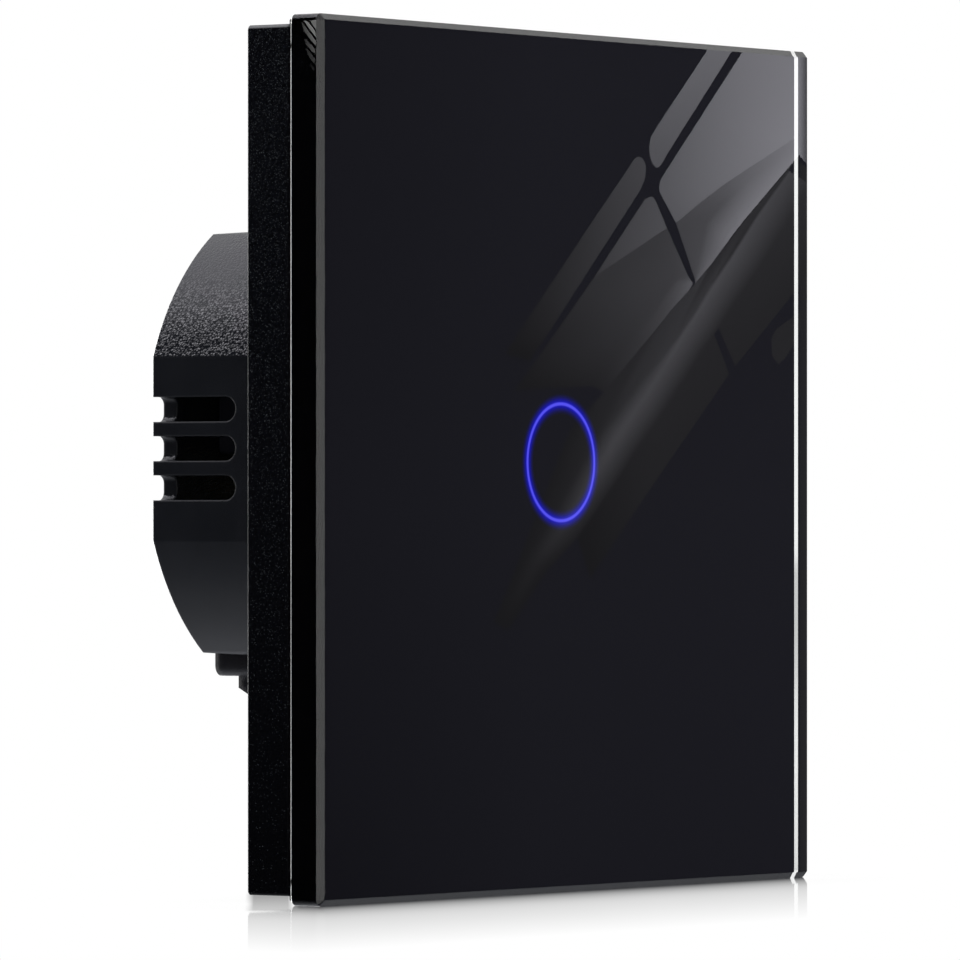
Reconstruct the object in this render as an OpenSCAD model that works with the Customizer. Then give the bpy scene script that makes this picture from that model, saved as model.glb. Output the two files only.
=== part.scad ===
// One-gang touch light switch for a wall box. X is to the right, Z is up, and the front faces -Y.
// The origin lies on the wall's surface, on the axis through the middle of the glass.

/* [Glass panel] */
// Width of the glass
panel_w = 80; // [78:1:90]
// Height of the glass
panel_h = 80; // [78:1:90]
// Thickness of the glass
glass_t = 3.7; // [3:0.1:5]
// Corner radius of the glass
glass_corner_r = 0.65; // [0.6:0.05:4]
// Ground bevel round the front edge
glass_bevel = 0.55; // [0.3:0.05:0.9]
// Ground bevel round the back edge
glass_back_bevel = 0.5; // [0.2:0.1:0.9]
// Thickness of the black print on the back of the glass
print_t = 0.1; // [0.05:0.01:0.2]
// Bare glass left between the print and the back bevel
print_border = 0.05; // [0.05:0.05:0.5]
// Mean diameter of the lit ring
ring_d = 10.9; // [10:0.1:13]
// Width of the lit line
ring_line = 0.4; // [0.3:0.05:0.9]

/* [Panel frame] */
// How far the frame's sides stand in from the glass
frame_inset = 0.8; // [0.4:0.1:2]
// Depth of the frame from its front to the wall
frame_depth = 4.7; // [4.5:0.1:7]
// Thickness of the frame's sides
frame_wall = 1.6; // [1.2:0.1:2]
// Thickness of the frame's front web
frame_web = 1.2; // [0.8:0.1:1.4]
// Corner radius of the frame
frame_corner_r = 0.4; // [0.4:0.1:2]
// Thickness of the tape between frame and glass
tape_t = 0.4; // [0.2:0.05:0.8]
// Width of the tape on each side
tape_w = 9; // [5:0.5:11]
// Window in the web, wide and high
frame_window = 50; // [48:0.5:54]
// Length of each rib that grips the mounting plate
grip_len = 9; // [4:0.5:16]
// Least height of a grip rib above the frame's side
grip_least = 0.2; // [0.1:0.05:0.5]
// Width of the slot in the bottom edge for prising the panel off
pry_w = 10; // [6:0.5:16]
// Depth of that slot
pry_depth = 1.4; // [0.8:0.1:2]

/* [Mounting plate] */
// Side of the square steel plate
plate_w = 71; // [70:0.5:73]
// Thickness of the steel
plate_t = 1.2; // [0.8:0.1:1.4]
// Corner radius of the plate
plate_corner_r = 4; // [2:0.5:8]
// Height of the raised middle
emboss_h = 0.8; // [0.5:0.1:1]
// Distance between the wall-box screws
box_screw_pitch = 60; // [58:0.5:62]
// Width of the screw slots
box_slot_w = 4.2; // [3.5:0.1:4.5]
// Length of the screw slots, end to end
box_slot_len = 8; // [6:0.5:8]

/* [Rear housing] */
// Radius of the housing's round outline
body_r = 24.33; // [24:0.1:26]
// Width across the side flats
body_flat_w = 45.54; // [44.5:0.1:47]
// Height of the top flat above the housing's centre
body_top = 20.47; // [19.8:0.1:22]
// Depth of the bottom flat below the housing's centre
body_bottom = 19.33; // [18.5:0.1:20]
// Height of the housing's centre above the glass's centre
body_rise = 1.26; // [0:0.1:2]
// Depth of the housing behind the wall's surface
body_depth = 23.5; // [22.5:0.5:32]
// Thickness of the round wall
body_wall = 1.6; // [1.2:0.1:1.8]
// Thickness of the back
back_wall = 1.56; // [1.2:0.1:2.2]
// Rounding where the round wall meets the top and bottom flats
body_fillet = 2.5; // [0.5:0.1:3]
// Chamfer round the back edge
body_chamfer = 0.3; // [0.1:0.1:0.8]
// Length of the tapered tail of the top and bottom flats
tail_len = 6; // [3:0.5:8]
// How far the tail draws in at the back
tail_taper = 0.22; // [0.05:0.01:0.4]
// Width of the shallow recess in the back
recess_w = 26; // [10:1:32]
// Height of that recess
recess_h = 8; // [4:0.5:12]
// Depth of that recess
recess_t = 0.3; // [0.1:0.1:0.6]
// Vent slots in each side flat
vent_count = 3; // [1:1:4]
// Height of a vent slot
vent_h = 2.32; // [1.6:0.1:2.8]
// Distance from slot to slot
vent_pitch = 3.65; // [3.2:0.05:4.2]
// Length of a vent slot from the back
vent_len = 9.85; // [6:0.05:14]
// How deep a vent slot cuts in from the flat
vent_cut = 2; // [1.7:0.1:2.6]
// Radius of a screw boss
boss_r = 2.8; // [2.4:0.1:2.9]
// Angle of the screw bosses above and below the level line
boss_angle = 38; // [37:0.5:40]

/* [Boards] */
// Thickness of the power board
power_board_t = 1.6; // [1:0.1:2]
// Gap between the mounting plate and the power board
power_board_gap = 3.3; // [3:0.1:4]
// Width of the touch board
touch_board_w = 26; // [22:0.5:27]
// Height of the touch board
touch_board_h = 30; // [26:0.5:31]
// Thickness of the touch board
touch_board_t = 0.8; // [0.6:0.1:0.9]
// Thickness of the cover's base
cover_t = 0.7; // [0.5:0.1:0.8]
// Pins in the plug between the boards
pin_count = 5; // [3:1:6]
// Distance from pin to pin
pin_pitch = 2; // [1.5:0.1:2.54]

/* [Terminals] */
// Distance from terminal to terminal
pole_pitch = 8; // [7.6:0.1:8.2]
// End wall beyond the last terminal
block_end = 0.8; // [0.5:0.1:1]
// Height of the terminal block
block_h = 12.5; // [12:0.1:13]
// How far the block stands below the housing's bottom
block_drop = 2; // [1.5:0.1:3.5]
// Rounding of the block's lower edges
block_round = 1; // [0.4:0.1:1.4]
// How far the wire guide stands below the block
guide_drop = 1.7; // [0.6:0.1:2.5]
// Gap between the guide's back end and the block's back
guide_step = 2; // [1:0.1:4]
// Diameter of a wire entry
wire_d = 3.2; // [2.4:0.1:3.2]
// Diameter of a terminal screw's shank
term_screw_d = 3; // [2.5:0.1:3.2]
// Diameter of its head
term_head_d = 4.8; // [4.4:0.1:5.2]
// Height of its head
term_head_h = 2; // [1.4:0.1:2.2]
// Travel of a clamp from open to closed
clamp_travel = 3; // [2:0.1:3]
// Width of a clamp
clamp_w = 5.8; // [5.6:0.1:6]
// Height of a clamp
clamp_h = 5; // [4:0.1:5.2]
// Thickness of the copper bars
busbar_t = 1; // [0.6:0.1:1.2]

/* [Relay] */
// Length of the relay
relay_l = 19; // [18.5:0.1:19.5]
// Width of the relay
relay_w = 10; // [9.6:0.1:10.2]
// Height of the relay
relay_h = 15.3; // [14.5:0.1:16]
// Wall of the relay's case
relay_wall = 0.7; // [0.5:0.1:0.8]
// Angle the armature rocks through, in degrees
armature_swing = 5; // [3:0.5:6]

/* [Fits] */
// Gap round pieces that drop into a seat
seat_gap = 0.2; // [0.1:0.05:0.3]
// Radial gap of turning and gripping fits
run_gap = 0.06; // [0.03:0.01:0.1]
// Gap between pieces that move past each other
move_gap = 0.3; // [0.2:0.05:0.35]

/* [Hidden] */
$fn = 72;

// Overshoot of a cutting tool past the face that it leaves
past = 1;

// Depths of the front stack, from the wall forward
frame_front_y = -frame_depth;
tape_front_y = frame_front_y - tape_t;
glass_back_y = tape_front_y - print_t;
glass_front_y = glass_back_y - glass_t;
// The frame follows the glass, and always goes round the plate and its grip ribs
frame_least = plate_w + 2 * (run_gap + grip_least + frame_wall);
frame_w = max(panel_w - 2 * frame_inset, frame_least);
frame_h = max(panel_h - 2 * frame_inset, frame_least);
print_inset = glass_back_bevel + print_border;
// The glass's corners stay rounder than its bevels
arris_least = 0.1;
glass_r = max(glass_corner_r, max(glass_bevel, glass_back_bevel) + arris_least);
frame_inner_r = 1.2;

// Depths of the module, from the wall forward
plate_front_y = -plate_t;
emboss_back_y = -emboss_h;
emboss_front_y = emboss_back_y - plate_t;
cover_front_y = emboss_front_y - cover_t;
touch_front_y = cover_front_y - touch_board_t;
light_front_y = tape_front_y + move_gap;

// The raised middle of the plate clears the housing all round
emboss_gap = 0.8;
emboss_w = body_flat_w + 2 * emboss_gap;
emboss_z0 = body_rise - body_bottom - emboss_gap;
emboss_z1 = body_rise + body_top + emboss_gap;
emboss_corner_r = 6;

// The recess lies midway between the terminal block and the top flat
recess_z = body_rise + (body_top - body_bottom - block_drop + block_h) / 2;
recess_corner_r = 1;

// How far a rounding stands past the outline before the outline trims it
fillet_over = 0.02;

// Housing and screw bosses
cavity_back_y = body_depth - back_wall;
boss_web = 0.5;
boss_centre_r = body_r - boss_r - boss_web;
boss_x = boss_centre_r * cos(boss_angle);
boss_z = boss_centre_r * sin(boss_angle);
boss_neck_r = 1.9;
case_screw_r = 1.2;
case_screw_head_r = 2.3;
case_screw_head_h = 1.3;
case_screw_len = 11;

// Outside of the housing beside the vents: the flat, or the round wall where that lies further in
vent_reach = (vent_count - 1) / 2 * vent_pitch + vent_h / 2;
vent_x = min(body_flat_w / 2, sqrt(body_r ^ 2 - vent_reach ^ 2));

// Power board
board_front_y = emboss_back_y + power_board_gap;
board_back_y = board_front_y + power_board_t;
board_inset = body_wall + move_gap;

// Cover and touch board
head_margin = 1.2;
cover_margin = 3;
cover_w = 2 * (boss_x + case_screw_head_r + head_margin);
cover_h = max(touch_board_h + 2 * cover_margin, 2 * (body_rise + boss_z + case_screw_head_r + head_margin));
cover_corner_r = 3;
cover_rim = 1;
stake_r = 0.9;
stake_in = 2.2;

// Plug between the boards
plug_end = 0.3;
plug_w = pin_count * pin_pitch + 2 * plug_end;
plug_h = 2.4;
plug_in = 4;
plug_z = touch_board_h / 2 - plug_in;
pin_w = 0.5;
strip_back_y = emboss_back_y + 0.1;
socket_front_y = strip_back_y + 0.4;

// Terminal block, measured from its back face forward
block_w = 3 * pole_pitch + 2 * block_end;
block_z0 = body_rise - body_bottom - block_drop;
block_z1 = block_z0 + block_h;
screw_play = 0.1;
lip_t = 2.2;
shelf_t = 0.9;
head_back_y = body_depth - lip_t - screw_play;
head_seat_y = head_back_y - term_head_h - screw_play;
cell_back_y = head_seat_y - shelf_t;
clamp_top_t = 2;
clamp_window = busbar_t + 0.2 + wire_d;
clamp_floor_t = 1.2;
clamp_side_t = 0.8;
clamp_back_y = cell_back_y - move_gap - clamp_travel;
window_back_y = clamp_back_y - clamp_top_t;
window_front_y = window_back_y - clamp_window;
clamp_front_y = window_front_y - clamp_floor_t;
cell_front_y = clamp_front_y - move_gap;
busbar_back_y = window_back_y - 0.1;
busbar_front_y = busbar_back_y - busbar_t;
wire_y = (busbar_front_y + window_front_y) / 2;
cell_w = clamp_w + 2 * move_gap;
cell_h = clamp_h + 2 * move_gap;
entry_len = 3.7;
term_z = block_z0 + entry_len + cell_h / 2;
busbar_w = 3.6;
busbar_cover = 1;
busbar_tail = 0.8;
busbar_top_z = block_z1 - busbar_cover;
busbar_end_y = board_front_y - busbar_tail;
busbar_gap = 0.05;
guide_setback = 3;
guide_front_y = board_back_y + guide_setback;
guide_back_y = body_depth - guide_step;
guide_chamfer = min(0.6, guide_drop / 2);
guide_slope = 1.1;

// Relay, from its left end and from the board up, under the boss and the can
part_gap = 0.6;
can_r = 4;
can_z = body_rise + body_top - board_inset - can_r;
relay_out = 1;
relay_x0 = -boss_x - relay_out;
relay_z = min(body_rise + boss_z - boss_r, can_z - can_r) - part_gap - relay_w / 2;
relay_seat = 0.1;
relay_base_t = 1.6;
yoke_t = 1.2;
yoke_w = 6.4;
yoke_u = relay_wall + 0.7;
armature_t = 1;
armature_w = 6;
armature_l = 8.4;
blade_t = 0.2;
blade_w = 3;
blade_head = 0.95;
armature_h0 = relay_h - relay_wall - blade_head - blade_t - armature_t;
pivot_u = yoke_u + yoke_t;
yoke_top_h = armature_h0 - run_gap;
yoke_foot_l = 6.8;
core_arm = 4;
core_r = 1.5;
pole_r = 2.4;
pole_t = 0.6;
pole_top_h = armature_h0 - (core_arm + pole_r) * sin(armature_swing) - 0.1;
coil_h0 = relay_base_t + yoke_t;
coil_h1 = pole_top_h - pole_t;
flange_t = 0.6;
flange_r = 3.6;
spool_r = 2.1;
contact_arm = 12.2;
contact_r = 1.2;
contact_t = 0.7;
fixed_top_h = armature_h0 + armature_t - contact_t - (contact_arm + contact_r) * sin(armature_swing) - 0.1;
tab_t = 0.5;
tab_w = 3.4;

// Supply parts on the power board
right_x0 = relay_x0 + relay_l + part_gap;
transformer_l = 12;
transformer_w = 9.6;
transformer_h = 11;
core_leg = 2.4;
transformer_z = body_rise + boss_z - boss_r - part_gap - transformer_w / 2;
film_l = 13;
film_w = 5;
film_h = 11;
film_z = block_z1 + part_gap + film_w / 2;
can_h = 11.5;
can_x = relay_x0 + relay_l / 2;
disc_r = 3.5;
disc_t = 3;
disc_x = can_x + can_r + part_gap + disc_r;
fuse_r = 1.8;
fuse_l = 9;
fuse_x = disc_x + disc_r + part_gap + fuse_r;
bridge_l = 6.5;
bridge_w = 4.7;
bridge_h = 2.6;

// A flat outline given in X and Z, made solid from y0 back to y1
module along_y(y0, y1) {
    translate([0, y1, 0]) rotate([90, 0, 0]) linear_extrude(y1 - y0) children();
}

// A flat outline given in Y and Z, made solid from x0 to x1
module along_x(x0, x1) {
    translate([x0, 0, 0]) rotate([90, 0, 90]) linear_extrude(x1 - x0) children();
}

// A round rod along Y
module rod_y(r, y0, y1) {
    translate([0, y0, 0]) rotate([-90, 0, 0]) cylinder(r = r, h = y1 - y0);
}

// A block between two corners
module block(low, high) {
    translate(low) cube(high - low);
}

module rounded_rect(w, h, r) {
    square([w - 2 * r, h], center = true);
    square([w, h - 2 * r], center = true);
    for (x = [-1, 1], z = [-1, 1])
        translate([x * (w / 2 - r), z * (h / 2 - r)]) circle(r);
}

// A slot with round ends, along X
module stadium(length, width) {
    square([length - width, width], center = true);
    for (x = [-1, 1]) translate([x * (length - width) / 2, 0]) circle(d = width);
}

// A plate with rounded corners whose front and back edges are bevelled
module bevelled_slab(w, h, r, y0, y1, c0, c1) {
    half_edge = [[0, y0], [r - c0, y0], [r, y0 + c0], [r, y1 - c1], [r - c1, y1], [0, y1]];
    for (x = [-1, 1], z = [-1, 1])
        translate([x * (w / 2 - r), 0, z * (h / 2 - r)])
            rotate([-90, 0, 0]) rotate_extrude() polygon(half_edge);
    linear_extrude(h - 2 * r, center = true) bevelled_section(w, y0, y1, c0, c1);
    rotate([0, -90, 0]) linear_extrude(w - 2 * r, center = true) bevelled_section(h, y0, y1, c0, c1);
}

module bevelled_section(w, y0, y1, c0, c1) {
    polygon([[c0 - w / 2, y0], [w / 2 - c0, y0], [w / 2, y0 + c0], [w / 2, y1 - c1],
        [w / 2 - c1, y1], [c1 - w / 2, y1], [-w / 2, y1 - c1], [-w / 2, y0 + c0]]);
}

module at_bosses() {
    for (x = [-1, 1], z = [-1, 1]) translate([x * boss_x, 0, body_rise + z * boss_z]) children();
}

module at_relay() {
    translate([relay_x0, board_back_y, relay_z]) children();
}

module ring_outline(r_out, r_in) {
    difference() {
        circle(r_out);
        circle(r_in);
    }
}

// Glass panel: clear plate, ground bevels front and back
module glass_panel() {
    color("lightcyan", 0.6)
        bevelled_slab(panel_w, panel_h, glass_r, glass_front_y, glass_back_y,
            glass_bevel, glass_back_bevel);
}

// Black print: a border sheet with a round spot inside the open ring
module print_film() {
    color("black") along_y(glass_back_y, tape_front_y) difference() {
        rounded_rect(panel_w - 2 * print_inset, panel_h - 2 * print_inset, glass_r);
        ring_outline((ring_d + ring_line) / 2, (ring_d - ring_line) / 2);
    }
}

// Translucent ink that fills the open ring
module ring_window() {
    color("blue") along_y(glass_back_y, tape_front_y)
        ring_outline((ring_d + ring_line) / 2, (ring_d - ring_line) / 2);
}

// Double-sided tape between the print and the frame
module bond_tape() {
    tape_edge = 1;
    outer = [frame_w - 2 * tape_edge, frame_h - 2 * tape_edge];
    color("dimgray") along_y(tape_front_y, frame_front_y) difference() {
        rounded_rect(outer.x, outer.y, frame_inner_r);
        rounded_rect(outer.x - 2 * tape_w, outer.y - 2 * tape_w, frame_inner_r);
    }
}

// Frame: a shallow tray with a window, ribs that grip the plate and a slot for prising
module panel_frame() {
    web_back_y = frame_front_y + frame_web;
    inner_w = frame_w - 2 * frame_wall;
    inner_h = frame_h - 2 * frame_wall;
    edge = 0.15;
    grip_edge = plate_w / 2 + run_gap;
    grip_at = plate_w / 4;
    color("#101012") difference() {
        union() {
            difference() {
                bevelled_slab(frame_w, frame_h, frame_corner_r, frame_front_y, 0, edge, edge);
                along_y(web_back_y, past) rounded_rect(inner_w, inner_h, frame_inner_r);
                along_y(frame_front_y - past, web_back_y + past)
                    rounded_rect(frame_window, frame_window, frame_inner_r);
            }
            for (side = [-1, 1], row = [-1, 1]) {
                block([min(side * grip_edge, side * (inner_w + frame_wall) / 2), web_back_y - edge,
                        row * grip_at - grip_len / 2],
                    [max(side * grip_edge, side * (inner_w + frame_wall) / 2), -edge,
                        row * grip_at + grip_len / 2]);
                block([row * grip_at - grip_len / 2, web_back_y - edge,
                        min(side * grip_edge, side * (inner_h + frame_wall) / 2)],
                    [row * grip_at + grip_len / 2, -edge,
                        max(side * grip_edge, side * (inner_h + frame_wall) / 2)]);
            }
        }
        block([-pry_w / 2, -pry_depth, -frame_h / 2 - past],
            [pry_w / 2, past, frame_wall - frame_h / 2 + past]);
    }
}

// Mounting plate: pressed steel with a raised middle, screw slots and holes for the module
module mounting_plate() {
    emboss_h_z = emboss_z1 - emboss_z0;
    emboss_z = (emboss_z0 + emboss_z1) / 2;
    color("silver") difference() {
        union() {
            along_y(plate_front_y, 0) rounded_rect(plate_w, plate_w, plate_corner_r);
            along_y(emboss_front_y, 0) translate([0, emboss_z])
                rounded_rect(emboss_w + 2 * plate_t, emboss_h_z + 2 * plate_t, emboss_corner_r + plate_t);
        }
        along_y(emboss_back_y, past) translate([0, emboss_z])
            rounded_rect(emboss_w, emboss_h_z, emboss_corner_r);
        for (side = [-1, 1])
            translate([side * box_screw_pitch / 2, 0, 0])
                along_y(plate_front_y - past, past) stadium(box_slot_len, box_slot_w);
        at_bosses() rod_y(case_screw_r + seat_gap, emboss_front_y - past, past);
        along_y(emboss_front_y - past, past) translate([0, plug_z])
            square([plug_w + 4 * seat_gap, plug_h + 4 * seat_gap], center = true);
    }
}

// Cover: a thin tray with a rim round the touch board and two stakes that hold it
module module_cover() {
    rim_w = touch_board_w + 2 * (seat_gap + cover_rim);
    rim_h = touch_board_h + 2 * (seat_gap + cover_rim);
    stake_head_r = stake_r + 0.5;
    stake_head_t = 0.4;
    color("#202022") {
        difference() {
            union() {
                along_y(cover_front_y, emboss_front_y) rounded_rect(cover_w, cover_h, cover_corner_r);
                along_y(touch_front_y, cover_front_y + cover_t / 2) rounded_rect(rim_w, rim_h, 1.5);
            }
            along_y(touch_front_y - past, cover_front_y)
                rounded_rect(touch_board_w + 2 * seat_gap, touch_board_h + 2 * seat_gap, 1);
            at_bosses() rod_y(case_screw_head_r + seat_gap, touch_front_y - past, cover_front_y);
            at_bosses() rod_y(case_screw_r + seat_gap, touch_front_y - past, emboss_front_y + past);
            along_y(touch_front_y, emboss_front_y + past) translate([0, plug_z])
                square([plug_w + 2 * seat_gap, plug_h + 2 * seat_gap], center = true);
        }
        at_stakes() {
            rod_y(stake_r, touch_front_y - stake_head_t / 2, cover_front_y + cover_t / 2);
            rod_y(stake_head_r, touch_front_y - stake_head_t, touch_front_y);
        }
    }
}

module at_stakes() {
    for (side = [-1, 1])
        translate([side * (touch_board_w / 2 - stake_in), 0, -side * (touch_board_h / 2 - stake_in)])
            children();
}

// Four cross-head screws through cover and plate into the housing's bosses
module housing_screws() {
    cross_w = 0.7;
    cross_l = 2.6;
    cross_t = 0.8;
    color("silver") at_bosses() difference() {
        union() {
            rod_y(case_screw_head_r, cover_front_y - case_screw_head_h, cover_front_y);
            rod_y(case_screw_r, cover_front_y - case_screw_head_h / 2, cover_front_y + case_screw_len);
        }
        for (turn = [0, 90])
            rotate([0, turn, 0])
                block([-cross_l / 2, cover_front_y - case_screw_head_h - past, -cross_w / 2],
                    [cross_l / 2, cover_front_y - case_screw_head_h + cross_t, cross_w / 2]);
    }
}

// Touch board with holes for the stakes and the plug's pins
module touch_board() {
    color("darkgreen") difference() {
        along_y(touch_front_y, cover_front_y) rounded_rect(touch_board_w, touch_board_h, 0.8);
        at_stakes() rod_y(stake_r + run_gap, touch_front_y - past, cover_front_y + past);
        at_pins() block([-pin_w / 2 - run_gap, touch_front_y - past, -pin_w / 2 - run_gap],
            [pin_w / 2 + run_gap, cover_front_y + past, pin_w / 2 + run_gap]);
    }
}

module at_pins() {
    for (i = [0 : pin_count - 1])
        translate([(i - (pin_count - 1) / 2) * pin_pitch, 0, plug_z]) children();
}

// Sensing chip, a flat package beside the ring
module touch_chip() {
    side = 3;
    height = 0.6;
    drop = 2;
    chip_z = -touch_board_h / 4 - drop;
    color("#303033") along_y(touch_front_y - height, touch_front_y) translate([0, chip_z])
        rounded_rect(side, side, 0.2);
}

// Conductive pad inside the ring, close behind the print
module touch_electrode() {
    pad_gap = 2;
    pad_r = ring_d / 2 - pad_gap;
    color("goldenrod") rod_y(pad_r, light_front_y, touch_front_y);
}

// Four small lamps under the light ring
led_l = 1.6;
led_w = 0.8;
led_t = 0.4;
module at_leds() {
    for (turn = [45 : 90 : 315]) rotate([0, turn, 0]) translate([ring_d / 2, 0, 0]) children();
}

module indicator_leds() {
    color("aliceblue") at_leds()
        block([-led_w / 2, touch_front_y - led_t, -led_l / 2], [led_w / 2, touch_front_y, led_l / 2]);
}

// Acrylic ring that spreads the lamps' light into the lit line
module light_ring() {
    foot_r = 1.3;
    rim_r = 0.6;
    foot_t = (touch_front_y - light_front_y) / 2;
    color("white", 0.7) difference() {
        union() {
            along_y(touch_front_y - foot_t, touch_front_y)
                ring_outline(ring_d / 2 + foot_r, ring_d / 2 - foot_r);
            along_y(light_front_y, touch_front_y) ring_outline(ring_d / 2 + rim_r, ring_d / 2 - rim_r);
        }
        at_leds() block([-led_w / 2 - run_gap, touch_front_y - led_t - run_gap, -led_l / 2 - run_gap],
            [led_w / 2 + run_gap, touch_front_y + past, led_l / 2 + run_gap]);
    }
}

// Insulating strip of the plug, under the touch board
module header_strip() {
    color("#151517") difference() {
        along_y(cover_front_y, strip_back_y) translate([0, plug_z]) square([plug_w, plug_h], center = true);
        at_pins() block([-pin_w / 2 - run_gap, cover_front_y - past, -pin_w / 2 - run_gap],
            [pin_w / 2 + run_gap, strip_back_y + past, pin_w / 2 + run_gap]);
    }
}

// Pins of the plug, from the touch board into the socket
module header_pins() {
    tail = 0.4;
    color("gold") at_pins()
        block([-pin_w / 2, touch_front_y - tail, -pin_w / 2],
            [pin_w / 2, board_front_y - run_gap, pin_w / 2]);
}

// Socket on the power board that takes the pins
module header_socket() {
    color("#151517") difference() {
        along_y(socket_front_y, board_front_y) translate([0, plug_z]) square([plug_w, plug_h], center = true);
        at_pins() block([-pin_w / 2 - run_gap, socket_front_y - past, -pin_w / 2 - run_gap],
            [pin_w / 2 + run_gap, board_front_y + past, pin_w / 2 + run_gap]);
    }
}

// Housing outline at a given distance inside the outer wall
module body_outline(inset) {
    r = body_r - inset;
    half = body_flat_w / 2 - inset;
    fillet = max(body_fillet - inset, 0.3);
    levels = [body_top - inset, inset - body_bottom];
    intersection() {
        circle(r);
        translate([-half, levels[1]]) square([2 * half, levels[0] - levels[1]]);
        union() {
            difference() {
                circle(r + past);
                for (side = [-1, 1], level = levels) corner_cut(r, side, level, fillet);
            }
            for (side = [-1, 1], level = levels)
                translate(fillet_centre(r, side, level, fillet)) circle(fillet + fillet_over);
        }
    }
}

// Centre of the rounding that touches a circle of radius r and a flat at the given level
function fillet_centre(r, side, level, fillet) =
    let(z = level - sign(level) * fillet)
    [side * sqrt((r - fillet) ^ 2 - z ^ 2), z];

module corner_cut(r, side, level, fillet) {
    c = fillet_centre(r, side, level, fillet);
    out = sign(level);
    polygon([c, [c.x, level + 2 * out], [c.x * 1.4, level + 2 * out], c * (r + 2 * past) / (r - fillet)]);
}

// Rear housing: a vented shell with four screw bosses and a bead on each side that holds the board
module rear_housing() {
    pilot_r = case_screw_r + run_gap;
    color("#1a1a1c") difference() {
        union() {
            difference() {
                housing_block();
                along_y(emboss_back_y - past, cavity_back_y)
                    translate([0, body_rise]) body_outline(body_wall);
            }
            at_bosses() {
                rod_y(boss_r, board_back_y, cavity_back_y + back_wall / 2);
                rod_y(boss_neck_r, emboss_back_y, board_back_y + past);
            }
            for (side = [-1, 1]) board_bead(side);
        }
        at_bosses() rod_y(pilot_r, emboss_back_y - past, cover_front_y + case_screw_len + past);
        for (side = [-1, 1], row = [0 : vent_count - 1])
            translate([0, 0, body_rise + (row - (vent_count - 1) / 2) * vent_pitch]) vent_slot(side);
        block([-block_w / 2 - seat_gap, board_back_y - seat_gap, block_z0 - guide_drop - past],
            [block_w / 2 + seat_gap, body_depth + past, block_z1 + seat_gap]);
        along_y(body_depth - recess_t, body_depth + past) translate([0, recess_z])
            rounded_rect(recess_w, recess_h, recess_corner_r);
    }
}

// Outside of the housing: its flats taper towards the back, and a chamfer goes round the back edge
module housing_block() {
    c = body_chamfer;
    y0 = emboss_back_y;
    y1 = body_depth;
    half = body_flat_w / 2;
    tail_y = y1 - tail_len;
    tail_top = body_top - tail_taper;
    tail_bottom = body_bottom - tail_taper;
    translate([0, 0, body_rise]) intersection() {
        along_y(y0, y1) body_outline(0);
        rotate([-90, 0, 0]) rotate_extrude()
            polygon([[0, y0], [body_r, y0], [body_r, y1 - c], [body_r - c, y1], [0, y1]]);
        translate([0, 0, -body_r]) linear_extrude(2 * body_r)
            polygon([[-half, y0], [half, y0], [half, y1 - c],
                [half - c, y1], [c - half, y1], [-half, y1 - c]]);
        along_x(-body_r, body_r)
            polygon([[y0, -body_bottom], [tail_y, -body_bottom], [y1 - c, -tail_bottom],
                [y1, c - tail_bottom], [y1, tail_top - c], [y1 - c, tail_top],
                [tail_y, body_top], [y0, body_top]]);
    }
}

// One vent: a slot in the flat that runs out through the back, rounded in both directions. Where it runs
// out, the ends of the ribs beside it are chamfered.
module vent_slot(side) {
    corner = min(0.8, vent_h / 3);
    depth = vent_cut + past;
    centre_x = side * (vent_x - vent_cut + depth / 2);
    mouth = vent_h / 2;
    flare = min(0.3, (vent_pitch - vent_h) / 4);
    flare_x = [side * (vent_x - vent_cut + corner), side * (vent_x + past)];
    along_x(min(flare_x), max(flare_x))
        polygon([[body_depth - flare - mouth / 2, -mouth / 2], [body_depth + past, -mouth - flare - past],
            [body_depth + past, mouth + flare + past], [body_depth - flare - mouth / 2, mouth / 2]]);
    intersection() {
        along_x(-body_r, body_r) translate([body_depth + past - (vent_len + past) / 2, 0])
            stadium_back(vent_len + past, vent_h);
        along_y(body_depth - vent_len - past, body_depth + past)
            translate([centre_x, 0]) rounded_rect(depth, vent_h, corner);
    }
}

// A slot that is round at its front end only
module stadium_back(length, width) {
    translate([(width - length) / 2, 0]) circle(d = width);
    translate([width / 4, 0]) square([length - width / 2, width], center = true);
}

// A wedge-shaped bead on the side wall, just in front of the board's edge
module board_bead(side) {
    bead_len = 6;
    bead_h = 1.2;
    wall_x = body_flat_w / 2 - body_wall;
    bead_x = wall_x - move_gap - 0.5;
    y = board_front_y - run_gap;
    translate([0, 0, body_rise - bead_len / 2]) linear_extrude(bead_len)
        polygon([[side * (wall_x + body_wall / 2), y], [side * bead_x, y],
            [side * wall_x, y - bead_h], [side * (wall_x + body_wall / 2), y - bead_h]]);
}

// Power board: follows the housing's inside, with notches for the bosses and slots for the bars
module power_board() {
    color("darkgreen") difference() {
        along_y(board_front_y, board_back_y) translate([0, body_rise]) body_outline(board_inset);
        at_bosses() rod_y(boss_neck_r + seat_gap, board_front_y - past, board_back_y + past);
        for (i = [1 : 3]) translate([pole_x(i), 0, 0]) bar_leg(busbar_gap);
    }
}

module supply_chip() {
    length = 5;
    width = 4;
    height = 1.4;
    color("#303033") along_y(board_front_y - height, board_front_y) translate([0, relay_z - relay_w / 2])
        square([length, width], center = true);
}

module bridge_rectifier() {
    x0 = relay_x0 + 2;
    z1 = relay_z - relay_w / 2 - part_gap;
    notch = 0.8;
    color("#202022") along_y(board_back_y, board_back_y + bridge_h)
        polygon([[x0, z1 - bridge_w], [x0 + bridge_l, z1 - bridge_w], [x0 + bridge_l, z1 - notch],
            [x0 + bridge_l - notch, z1], [x0, z1]]);
}

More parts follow.
